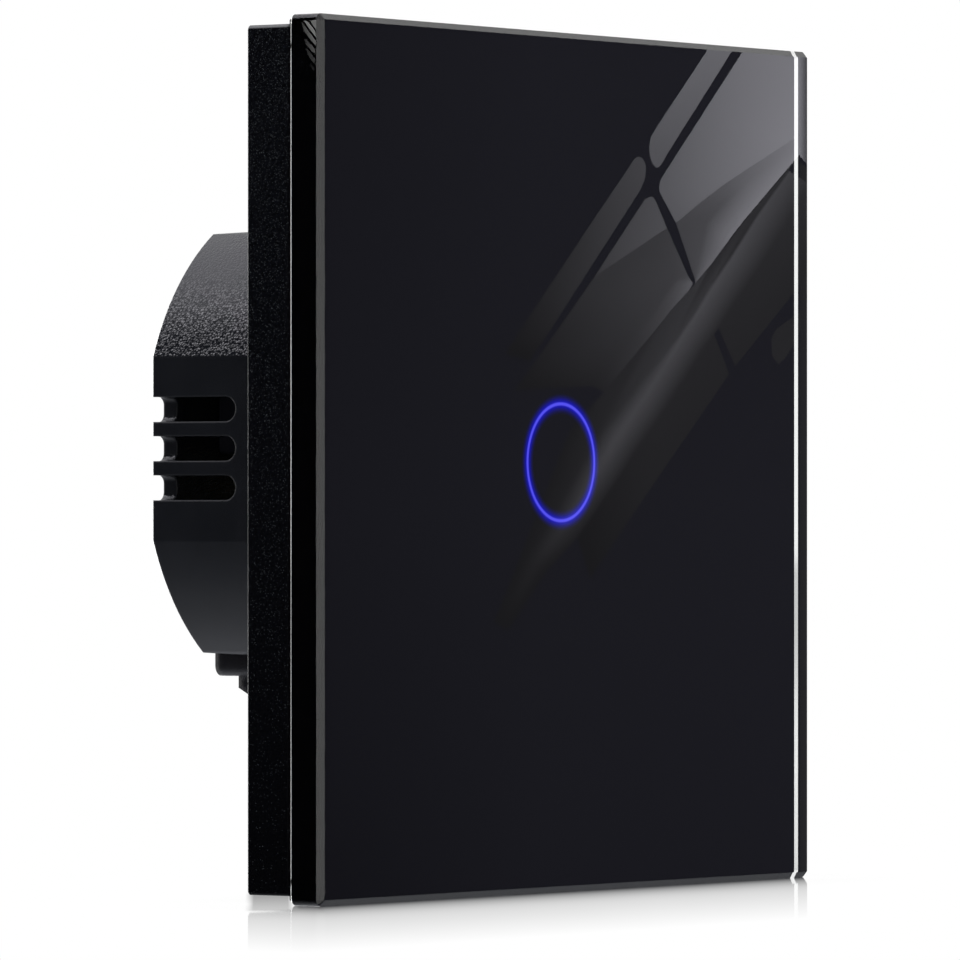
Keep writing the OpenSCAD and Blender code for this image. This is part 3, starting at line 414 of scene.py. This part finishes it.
def clear_glass(name):
    """Clear glass: polished where the surface faces along an axis, and slightly dull, with fine grit, where
    its normal leans half-way between, as on a bevel."""
    mat, tree, skin = finish(name)
    spot = put(tree, "TexCoord")
    depth = put(tree, "SeparateXYZ", [spot.outputs["Normal"]]).outputs["Y"]
    facing = put(tree, "Math", [depth], operation="ABSOLUTE").outputs[0]
    half_way = 0.707
    aside = put(tree, "Math", [facing, half_way], operation="SUBTRACT").outputs[0]
    off = put(tree, "Math", [aside], operation="ABSOLUTE").outputs[0]
    ground = remap(tree, off, 0.12, 0.05, 0, 1)
    grit = noise(tree, spot.outputs["Object"], 2600, 2)
    dull = spread(tree, grit, 0.01, 0.09)
    tree.links.new(times(tree, ground, dull), skin.inputs["Roughness"])
    skin.inputs["Base Color"].default_value = (0.985, 0.995, 0.99, 1)
    skin.inputs["IOR"].default_value = 1.52
    skin.inputs["Transmission Weight"].default_value = 1
    return mat


insets = (FRONT_BEVEL, 0, 0, BACK_BEVEL)
edges = [rounded_square(GLASS[1].x - inset, GLASS_CORNER - inset) for inset in insets]
depths = [GLASS[0].y, GLASS[0].y + FRONT_BEVEL, GLASS[1].y - BACK_BEVEL, GLASS[1].y]
plate = add_piece("glass_plate", [stacked(edges, depths)], clear_glass("clear_glass"), "panel")
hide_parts("glass_panel")

# Black print: opaque ink screen-printed on the back of the glass, with a round line left open. It lies in
# the glass's back face with no air between, so it gives no reflection of its own. Round the open line the
# ink is thin enough to glow.
RING_R = 0.00545
RING_LINE = 0.0004
GLOW_REACH = 0.00095
INK_CORNER = 0.0002
INK_SUNK = 0.00002
INK_FRONT = GLASS[1].y - INK_SUNK
INK_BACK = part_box("print_film")[1].y


def off_line(tree):
    """How far a point lies from the middle of the lit line, in metres: its distance from the axis less the
    ring's mean radius, without sign."""
    place = put(tree, "TexCoord").outputs["Object"]
    flat = put(tree, "VectorMath", [place, (1, 0, 1)], operation="MULTIPLY").outputs["Vector"]
    out = put(tree, "VectorMath", [flat], operation="LENGTH").outputs["Value"]
    aside = put(tree, "Math", [out, RING_R], operation="SUBTRACT").outputs[0]
    return put(tree, "Math", [aside], operation="ABSOLUTE").outputs[0]


def printed_black(name):
    """Black ink: nearly no colour and no gloss, faintly uneven, with a blue glow that fades in 0.95 mm beside
    the line, by the cube of the way left."""
    mat, tree, skin = finish(name)
    place = put(tree, "TexCoord").outputs["Object"]
    cloud = noise(tree, place, 300, 3)
    tree.links.new(blend_colours(tree, cloud, (0.0012, 0.0012, 0.0016), (0.002, 0.002, 0.0025)),
                   skin.inputs["Base Color"])
    skin.inputs["Specular IOR Level"].default_value = 0
    skin.inputs["Roughness"].default_value = 0.9
    near = remap(tree, off_line(tree), RING_LINE / 2, RING_LINE / 2 + GLOW_REACH, 1, 0)
    glow = put(tree, "Math", [near, 3], operation="POWER").outputs[0]
    skin.inputs["Emission Color"].default_value = (0.0, 0.0, 1, 1)
    tree.links.new(times(tree, glow, 0.45), skin.inputs["Emission Strength"])
    return mat


def washer(inner, outer):
    """A flat ring of ink: the closed profile inner front, outer front, outer back, inner back, carried round
    the axis. inner and outer are rows of X and Z. Gives points and quads of the grid, which closes both
    ways."""
    rim = np.stack([inner, outer, outer, inner], 1)
    depth = np.broadcast_to([INK_FRONT, INK_FRONT, INK_BACK, INK_BACK], rim.shape[:2])
    points = np.stack([rim[..., 0], depth, rim[..., 1]], -1).reshape(-1, 3)
    at = np.arange(len(points)).reshape(-1, 4)
    ahead, beside = np.roll(at, -1, 0), np.roll(at, -1, 1)
    return points, np.stack([at, beside, np.roll(ahead, -1, 1), ahead], -1).reshape(-1, 4).tolist()


def to_sides(turn, half, corner):
    """Where rays at the angles turn meet a rounded square: a side, at half over the larger cosine, or a
    corner's circle, from the quadratic for a ray and a circle."""
    way = np.stack([np.cos(turn), np.sin(turn)], -1)
    reach = half / np.abs(way).max(-1)
    hub = np.sign(way) * (half - corner)
    along = (hub * way).sum(-1)
    bend = along + np.sqrt(np.maximum(along ** 2 - (hub ** 2).sum(-1) + corner ** 2, 0))
    in_corner = np.abs(way * reach[:, None]).min(-1) > half - corner
    return way * np.where(in_corner, bend, reach)[:, None]


corner_turns = (np.arange(4) * np.pi / 2 + np.pi / 4)[:, None] + np.linspace(-0.01, 0.01, 9)
even_turns = np.linspace(0, 2 * np.pi, 256, endpoint=False) + 0.003
circle = np.sort(np.concatenate([even_turns, corner_turns.ravel()]))
around = np.stack([np.cos(circle), np.sin(circle)], -1)
border = washer(around * (RING_R + RING_LINE / 2), to_sides(circle, GLASS[1].x - BACK_BEVEL, INK_CORNER))
spot = stacked([around * (RING_R - RING_LINE / 2)] * 2, [INK_FRONT, INK_BACK])
ink = add_piece("black_print", [border, spot], printed_black("black_print"), "panel")
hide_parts("print_film")

# Lit ring: translucent ink in the open line, lit blue from behind by the lamps. Its middle is paler than
# its edges.


def lit_ink(name):
    """Lit ink: light that goes from pale blue on the line's middle to deep blue at its edges."""
    mat, tree, skin = finish(name)
    edge = remap(tree, off_line(tree), RING_LINE / 5, RING_LINE / 2, 0, 1)
    tree.links.new(blend_colours(tree, edge, (0.085, 0.076, 0.9), (0.0, 0.0, 0.42)),
                   skin.inputs["Emission Color"])
    skin.inputs["Base Color"].default_value = (0.01, 0.012, 0.1, 1)
    skin.inputs["Specular IOR Level"].default_value = 0
    skin.inputs["Emission Strength"].default_value = 1.0
    return mat


line = washer(around * (RING_R - RING_LINE / 2), around * (RING_R + RING_LINE / 2))
ring = add_piece("lit_ring", [line], lit_ink("lit_ink"), "panel")
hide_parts("ring_window")

# Studio: a white floor and a white surround. The floor's polish is strong where the object stands and fades
# out within 83 mm along the slanting way it is seen, and a soft shadow lies close round the object.
FLOOR_Z = cad_box[0].z
FLOOR_HALF = 6
ALONG = (0.816, 0.578, 0)
ALONG_FRAME = (0.802, 0.5975, 0)
POLISH_REACH = 0.083
CONTACT_REACH = 0.036
SKY_REACH = 0.012
STRIP_MIRROR = 0.35
FRAME_CORNER = Vector((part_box("panel_frame")[0].x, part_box("panel_frame")[1].y, FLOOR_Z))


def flat_card(name, corners, mat):
    """One four-sided card of the studio, which isn't part of the object."""
    mesh = bpy.data.meshes.new(name)
    mesh.from_pydata([tuple(c) for c in corners], [], [(0, 1, 2, 3)])
    mesh.materials.append(mat)
    card = bpy.data.objects.new(name, mesh)
    bpy.context.scene.collection.objects.link(card)
    return card


def white_floor(name, foot):
    """Floor: white to the camera, darker where little sky is open within 12 mm. A share of it mirrors: it
    falls in a straight line with the way from the foot, a box on the floor, and a cubed part close by is
    added. The way is the larger of the distances beside the box, each over its share of the slanting way.
    A narrow painted shadow, which still mirrors a third, lies under the rest place of the frame's raised
    edge and deepens along it.
    To other rays the floor is plain matte white."""
    mat = bpy.data.materials.new(name)
    mat.use_nodes = True
    tree = mat.node_tree
    tree.nodes.clear()
    place = put(tree, "TexCoord").outputs["Object"]
    middle, half = (foot[0] + foot[1]) / 2, (foot[1] - foot[0]) / 2
    away = put(tree, "VectorMath", [place, middle], operation="SUBTRACT").outputs["Vector"]
    apart = put(tree, "VectorMath", [away], operation="ABSOLUTE").outputs["Vector"]
    out = put(tree, "VectorMath", [apart, half], operation="SUBTRACT").outputs["Vector"]
    slant = put(tree, "VectorMath", [out, (1 / ALONG[0], 1 / ALONG[1], 0)], operation="MULTIPLY")
    ways = put(tree, "SeparateXYZ", [slant.outputs["Vector"]])
    far = put(tree, "Math", [ways.outputs["X"], ways.outputs["Y"]], operation="MAXIMUM").outputs[0]
    long_part = remap(tree, far, 0, POLISH_REACH, 0.42, 0)
    close = remap(tree, far, 0, CONTACT_REACH, 0.83, 0)
    contact = put(tree, "Math", [close, 3], operation="POWER").outputs[0]
    mirrored = put(tree, "Math", [long_part, contact], operation="ADD").outputs[0]
    # Painted shadow: a strip of floor under the frame's raised edge, placed from the frame at rest and the
    # slanting way it is seen, with its own darker level.
    past = put(tree, "VectorMath", [place, FRAME_CORNER], operation="SUBTRACT").outputs["Vector"]
    sideways = (ALONG_FRAME[1], -ALONG_FRAME[0], 0)
    beside = put(tree, "VectorMath", [past, sideways], operation="DOT_PRODUCT").outputs["Value"]
    beyond = put(tree, "VectorMath", [past, ALONG_FRAME], operation="DOT_PRODUCT").outputs["Value"]
    entered = remap(tree, beside, -0.0002, 0.0006, 0, 1)
    left_again = remap(tree, beside, 0.0037, 0.0047, 1, 0)
    begun = remap(tree, beyond, -0.0160, -0.0125, 0, 1)
    ended = remap(tree, beyond, 0.018, 0.028, 1, 0)
    strip = times(tree, entered, left_again)
    stretch = times(tree, begun, ended)
    painted_shadow = times(tree, strip, stretch)
    painted_shadow_level = remap(tree, beyond, 0.0143, -0.0183, 0.046, 0.46)
    sky = put(tree, "AmbientOcclusion", {"Distance": SKY_REACH}, samples=16).outputs["AO"]
    shade = remap(tree, sky, 0.4, 1, 0.9, 1)
    strength = put(tree, "Mix", {0: painted_shadow, 2: shade, 3: painted_shadow_level}).outputs[0]
    share = put(tree, "Mix", {0: painted_shadow, 2: mirrored, 3: STRIP_MIRROR}).outputs[0]
    white = put(tree, "Emission", {"Color": (1, 1, 1, 1), "Strength": strength})
    polish = put(tree, "BsdfGlossy", {"Color": (1, 1, 1, 1), "Roughness": 0.05})
    shown = put(tree, "MixShader", [share, white.outputs[0], polish.outputs[0]])
    matte = put(tree, "BsdfDiffuse", {"Color": (0.9, 0.9, 0.9, 1)})
    by_camera = put(tree, "LightPath").outputs["Is Camera Ray"]
    seen = put(tree, "MixShader", [by_camera, matte.outputs[0], shown.outputs[0]])
    put(tree, "OutputMaterial", {"Surface": seen.outputs[0]})
    return mat


foot = [Vector((cad_box[0].x, GLASS[0].y, FLOOR_Z)), Vector((cad_box[1].x, 0, FLOOR_Z))]
floor_corners = [(x * FLOOR_HALF, y * FLOOR_HALF, FLOOR_Z) for x, y in ((-1, -1), (1, -1), (1, 1), (-1, 1))]
floor = flat_card("floor", floor_corners, white_floor("studio_floor", foot))
floor.visible_glossy = False

world = bpy.data.worlds.new("white_surround")
bpy.context.scene.world = world
world.use_nodes = True
sky = world.node_tree
path = put(sky, "LightPath")
either = put(sky, "Math", [path.outputs["Is Camera Ray"], path.outputs["Is Glossy Ray"]], operation="MAXIMUM")
seen = put(sky, "Math", [either.outputs[0], path.outputs["Is Transmission Ray"]], operation="MAXIMUM")
sky.links.new(spread(sky, seen.outputs[0], 0.7, 1.0), sky.nodes["Background"].inputs["Strength"])
sky.nodes["Background"].inputs["Color"].default_value = (1, 1, 1, 1)

# Cards: they stand round the object and show only in reflections. A dark one on the left keeps the plastic
# and the glass's side black, one below and one above grade the round wall, and small ones draw the bright
# lines along the glass's edges.
LEFT_X, UNDER_Z, TOP_Z = -0.45, -0.9, 0.95
RAIL_FRONT, RAIL_BACK = -0.3, 1.8
CARD_FAR = 0.9
SHARES = 120
STREAKS_AT = (-0.449, 0.29735, 0.06885)
STREAK_RIGHT, STREAK_DOWN = 0.0001843, 0.000148


def ruled(*rails):
    """Lit strips, one between each two neighbouring rails. A rail is rows of x, y, z and light, read at
    equal shares of its length, and straight rules join neighbours at the same shares."""
    share = np.linspace(0, 1, SHARES)
    rows = []
    for rail in rails:
        rail = np.array(rail, float)
        run = np.concatenate([[0], np.cumsum(np.linalg.norm(np.diff(rail[:, :3], axis=0), axis=1))])
        rows.append(np.stack([np.interp(share, run / run[-1], column) for column in rail.T], -1))
    return [np.stack(pair, 1) for pair in zip(rows[:-1], rows[1:])]


def lit_card(name, strips, colour=(1, 1, 1)):
    """One card from ruled strips. It gives off light of the colour, as strong as each point's own value glow,
    and shows in reflections alone."""
    grid = np.stack(strips)
    at = np.arange(grid[..., 0].size).reshape(grid.shape[:3])
    quads = np.stack([at[:, :-1, 0], at[:, :-1, 1], at[:, 1:, 1], at[:, 1:, 0]], -1).reshape(-1, 4)
    mesh = bpy.data.meshes.new(name)
    mesh.from_pydata(grid[..., :3].reshape(-1, 3).tolist(), [], quads.tolist())
    mesh.attributes.new("glow", "FLOAT", "POINT").data.foreach_set("value", grid[..., 3].ravel())
    mat = bpy.data.materials.new(name)
    mat.use_nodes = True
    tree = mat.node_tree
    tree.nodes.clear()
    value = put(tree, "Attribute", attribute_name="glow").outputs["Fac"]
    light = put(tree, "Emission", {"Color": (*colour, 1), "Strength": value})
    put(tree, "OutputMaterial", {"Surface": light.outputs[0]})
    mesh.materials.append(mat)
    card = bpy.data.objects.new(name, mesh)
    bpy.context.scene.collection.objects.link(card)
    card.visible_camera = False
    card.visible_diffuse = False
    card.visible_transmission = False
    card.visible_shadow = False


def level(x, z, light):
    """A straight rail along Y with the same light all along."""
    return [(x, RAIL_FRONT, z, light), (x, RAIL_BACK, z, light)]


def facing(way, width, height, light):
    """An evenly lit card along the level or slanting way from the object, and turned to it."""
    way = Vector(way).normalized()
    across = way.cross(Vector((0, 0, 1))).normalized()
    above = across.cross(way)
    half = across * width / 2
    ends = [way * CARD_FAR + above * (height / 2 * side) for side in (-1, 1)]
    return ruled(*[[(*(end - half), light), (*(end + half), light)] for end in ends])


def on_side(rows):
    """A rail on the left card, so that the glass's side mirrors it near its top: rows of steps to the right,
    steps down and light."""
    x, y, z = STREAKS_AT
    return [(x, y - right * STREAK_RIGHT, z - down * STREAK_DOWN, light) for right, down, light in rows]


lit_card("left_card", ruled(*[level(LEFT_X, z, light) for z, light in (
    (0.48, 0.0015), (-0.22, 0.0015), (-0.38, 0.08), (-0.5, 0.14), (UNDER_Z, 0.26))]), (0.95, 1, 1.12))
lit_card("under_card", ruled(*[level(x, UNDER_Z, light) for x, light in (
    (LEFT_X, 0.26), (-0.05, 0.45), (0.16, 0.58), (1.3, 0.32), (3, 0.32))]), (0.97, 1, 1.08))
lit_card("top_card", ruled(*[level(x, TOP_Z, light) for x, light in (
    (-1.8, 1.7), (-0.3, 1.7), (0.1, 1.4), (0.6, 1.2))]), (1, 0.99, 1.06))
lit_card("bevel_card", facing((-0.578, -0.816, 0), 0.45, 0.5, 1.5))
lit_card("edge_card", facing((0.578, 0.816, 0), 0.4, 0.5, 4))
lit_card("rim_card", facing((0.816, 0, 0.578), 0.5, 0.4, 0.95))
lit_card("side_streaks", [strip for left, right in (
    ([(16.4, 0.5, 2.4), (22.6, 9.5, 3)], [(23.5, 0.5, 2.4), (23.5, 9.5, 3)]),
    ([(10.2, 0.5, 3), (22.8, 18, 3.4)], [(14.0, 0.5, 3.6), (22.8, 12.8, 3.2)]),
    ([(8.5, 3, 0.6), (11.5, 12, 1), (22.5, 26.5, 2)], [(9.4, 2.8, 0.9), (22.8, 21.4, 2.4)]),
    ([(11.8, 20, 0.5), (13.5, 26, 0.7), (22.2, 35.5, 1.3)], [(12.5, 19, 0.5), (22.6, 30.4, 1.5)]),
    ([(12.5, 28.5, 0.3), (16.5, 38, 0.5), (21.5, 45, 0.6)], [(13.5, 28.5, 0.4), (22.2, 39.8, 0.8)]),
    ([(16.5, 44.5, 0.2), (20.8, 52, 0.35)], [(17.5, 44, 0.2), (21.8, 51, 0.35)]),
) for strip in ruled(on_side(left), on_side(right))])

# Window: a dark card in front of the glass with the lit panes of a window on it, which the front mirrors as
# slanting shapes. Places are given from the card's hub, across and up, in steps of 0.3 mm. The card reaches
# far aside and down, so that the front is dark from other sides too.
STEP = 2.6 / 8692
HUB = np.array([1.4554, -1.0506, -0.0056])
ACROSS = np.array([0.578, 0.816, 0])
UP = np.array([0, 0, 1])
TOWARDS = np.array([-0.816, 0.578, 0])
DIM = 0.12


def on_window(rows, nearer):
    """A rail on the window card: the hub, plus the steps across and up, plus so many metres nearer."""
    rows = np.array(rows, float)
    spots = HUB + rows[:, :1] * STEP * ACROSS + rows[:, 1:2] * STEP * UP + TOWARDS * nearer
    return np.hstack([spots, rows[:, 2:]])


def pane(*rails, nearer=0.002):
    """One lit area of the window between rails."""
    return ruled(*[on_window(rail, nearer) for rail in rails])


lit_card("window_wall", [
    *pane([(-2000, 2000, DIM), (-2000, -2000, DIM)],
          [(-160, 2000, 0.118), (-160, 500, 0.118), (-160, 20, DIM), (-160, -360, 0.087),
           (-160, -2000, 0.08)],
          [(60, 2000, 0.15), (60, 500, 0.15), (60, 20, 0.145), (60, -360, 0.125), (60, -2000, DIM)],
          [(330, 2000, 0.15), (330, 500, 0.15), (330, 20, 0.145), (330, -360, 0.125), (330, -2000, DIM)],
          [(2000, 2000, 0.14), (2000, -2000, DIM)], nearer=0),
    *pane([(-12000, 2000, DIM), (-12000, -2000, DIM)],
          [(-2000, 2000, DIM), (-2000, -2000, DIM)], nearer=0),
    *pane([(-12000, -2000, DIM), (2000, -2000, DIM)],
          [(-12000, -16000, DIM), (2000, -16000, DIM)], nearer=0),
], (0.98, 0.98, 1.32))

streak = np.array([(310, 350, 0.61), (278, 305, 0.69), (255, 268, 0.74), (231, 232, 0.76), (218, 210, 0.75),
                   (200, 182, 0.74), (182, 152, 0.7), (162, 121, 0.69), (135, 82, 0.66), (121, 58, 0.6),
                   (82, -6, 0.33), (54, -43, 0.2), (21, -104, 0.13)])
reach_left = np.array([2.5, 2.5, 3, 3, 3, 4, 9, 14, 16, 16, 14, 12, 8])[:, None]
reach_right = np.array([25, 28, 28, 27, 26, 25, 24, 24, 23, 22, 18, 14, 8])[:, None]
light_left = np.array([[0.275, 0.3, 0.28, 0.43, 0.44, 0.44, 0.4, 0.32, 0.27, 0.24, 0.18, 0.15, 0.13]]).T
light_right = np.array([[0.28, 0.27, 0.25, 0.24, 0.24, 0.23, 0.23, 0.225, 0.22, 0.21, 0.17, 0.14, 0.13]]).T
aside = np.array([0.83, -0.55])
streak_left = np.hstack([streak[:, :2] - reach_left * aside, light_left])
streak_right = np.hstack([streak[:, :2] + reach_right * aside, light_right])
lit_card("window_panes", [
    *pane([(234, 482, 1.7), (176, 394, 1.2), (171, 385, 1.12), (169, 375, 1.08), (170, 364, 1.05),
           (172.5, 358, 1.04), (176.5, 354, 1.04)],
          [(259, 482, 1.7), (185, 364.5, 1.08), (181.5, 358, 1.06), (179, 355, 1.05), (176.5, 354, 1.04)]),
    *pane([(271, 482, 2.0), (263, 471, 2.0), (184, 348, 1.2), (180, 341, 1.16), (179, 334, 1.16),
           (180, 329, 1.16), (196, 299, 1.17)],
          [(319, 482, 2.25), (319, 387, 2.5), (314, 383, 2.5), (243, 337, 1.75), (196, 299, 1.17)]),
    *pane([(319, 387, 2.2), (256, 346, 1.25), (243, 337, 1.05), (218, 318, 0.8), (196, 299, 0.64),
           (215, 242, 0.62)],
          [(319, 378, 2.25), (266, 340, 1.4), (242, 318, 0.88), (226, 300, 0.72), (223, 285, 0.74),
           (215, 241, 0.8)],
          [(319, 367, 2.3), (314, 361, 2.4), (264, 302, 2.14), (251, 285, 2.0), (238, 267, 1.6),
           (227, 252, 1.45), (215, 239, 1.2)]),
    *pane([(319, 482, 2.2), (319, 367, 2.2)], [(328, 482, 0.3), (328, 356, 0.3)]),
    *pane([(320, 360, 0.22), (320, -370, 0.22)], [(330, 350, 0.24), (330, -370, 0.24)]),
    *pane([(172, 326, 0.82), (165, 323, 0.8), (115, 246, 0.5)],
          [(172, 326, 0.82), (175, 322, 0.87), (187, 294, 0.95), (115, 246, 0.5)]),
    *pane([(115, 246, 0.38), (74, 187, 0.22), (35, 132, 0.13)],
          [(175, 286, 0.48), (196, 246, 0.56), (178, 218, 0.48), (150, 184, 0.36), (112, 136, 0.19)],
          [(187, 294, 0.5), (208, 246, 0.7), (213, 239, 1.2), (209, 232, 1.1), (191, 212, 0.72),
           (167, 182, 0.46), (125, 130, 0.22)]),
    *pane([(158.5, 365.5, 0.66), (155, 364, 0.66), (98, 279, 0.34), (47, 202, 0.18), (25, 168, 0.13)],
          [(158.5, 365.5, 0.66), (162.5, 363.5, 0.68), (165.3, 358.5, 0.7), (166, 352, 0.7),
           (165, 343.5, 0.68), (161, 333, 0.64), (67, 187, 0.2), (50, 161, 0.13)]),
    *pane([(319, 367, 0.45), (314, 361, 0.35), (264, 302, 0.3), (238, 267, 0.26), (232, 259, 0.27),
           (228, 254, 0.41), (209, 232, 0.4), (191, 212, 0.36), (167, 182, 0.26), (129, 136, 0.22),
           (90, 92, 0.15)],
          streak_left, nearer=0.003),
    *pane(streak_left, streak, streak_right, nearer=0.004),
    *pane([(335, 347, 0.3), (280, 264, 0.26), (235, 202, 0.235)],
          [(335, 260, 0.21), (308, 222, 0.21), (255, 156, 0.21)], nearer=0.003),
    *pane([(230, 198, 0.235), (170, 107, 0.225), (95, -8, 0.13)],
          [(249, 148, 0.21), (168, 30, 0.2), (110, -56, 0.13)], nearer=0.003),
    *pane([(320, 210, 0.23), (296, 193, 0.23), (291, 183, 0.23), (292, 166, 0.23), (298, 158, 0.23)],
          [(320, 192, 0.23), (312, 175, 0.23), (305, 164, 0.23), (298, 158, 0.23)], nearer=0.003),
], (0.995, 0.985, 1.09))

# Lamp: one large soft box above and behind.
lamp = bpy.data.lights.new("top_softbox", "AREA")
lamp.shape = "RECTANGLE"
lamp.size = lamp.size_y = 0.7
lamp.energy = 3.5
lamp_object = bpy.data.objects.new("top_softbox", lamp)
lamp_object.location = (0.0, 0.6, 0.8)
lamp_object.rotation_mode = "QUATERNION"
lamp_object.rotation_quaternion = (-lamp_object.location).to_track_quat("-Z", "Y")
lamp_object.visible_glossy = False
bpy.context.scene.collection.objects.link(lamp_object)

# Camera: level, well back, with a long lens, from the front left.
lens = bpy.data.cameras.new("camera")
lens.lens = 325.95
lens.sensor_width = 36
lens.shift_y = 0.04395
lens.clip_start = 0.05
lens.clip_end = 50
camera = bpy.data.objects.new("camera", lens)
camera.location = (-0.66638, -0.46994, -0.00559)
camera.rotation_mode = "QUATERNION"
camera.rotation_quaternion = Vector((0.81606, 0.57796, 0)).to_track_quat("-Z", "Y")
bpy.context.scene.collection.objects.link(camera)
bpy.context.scene.camera = camera
bpy.context.scene.view_settings.view_transform = "Standard"
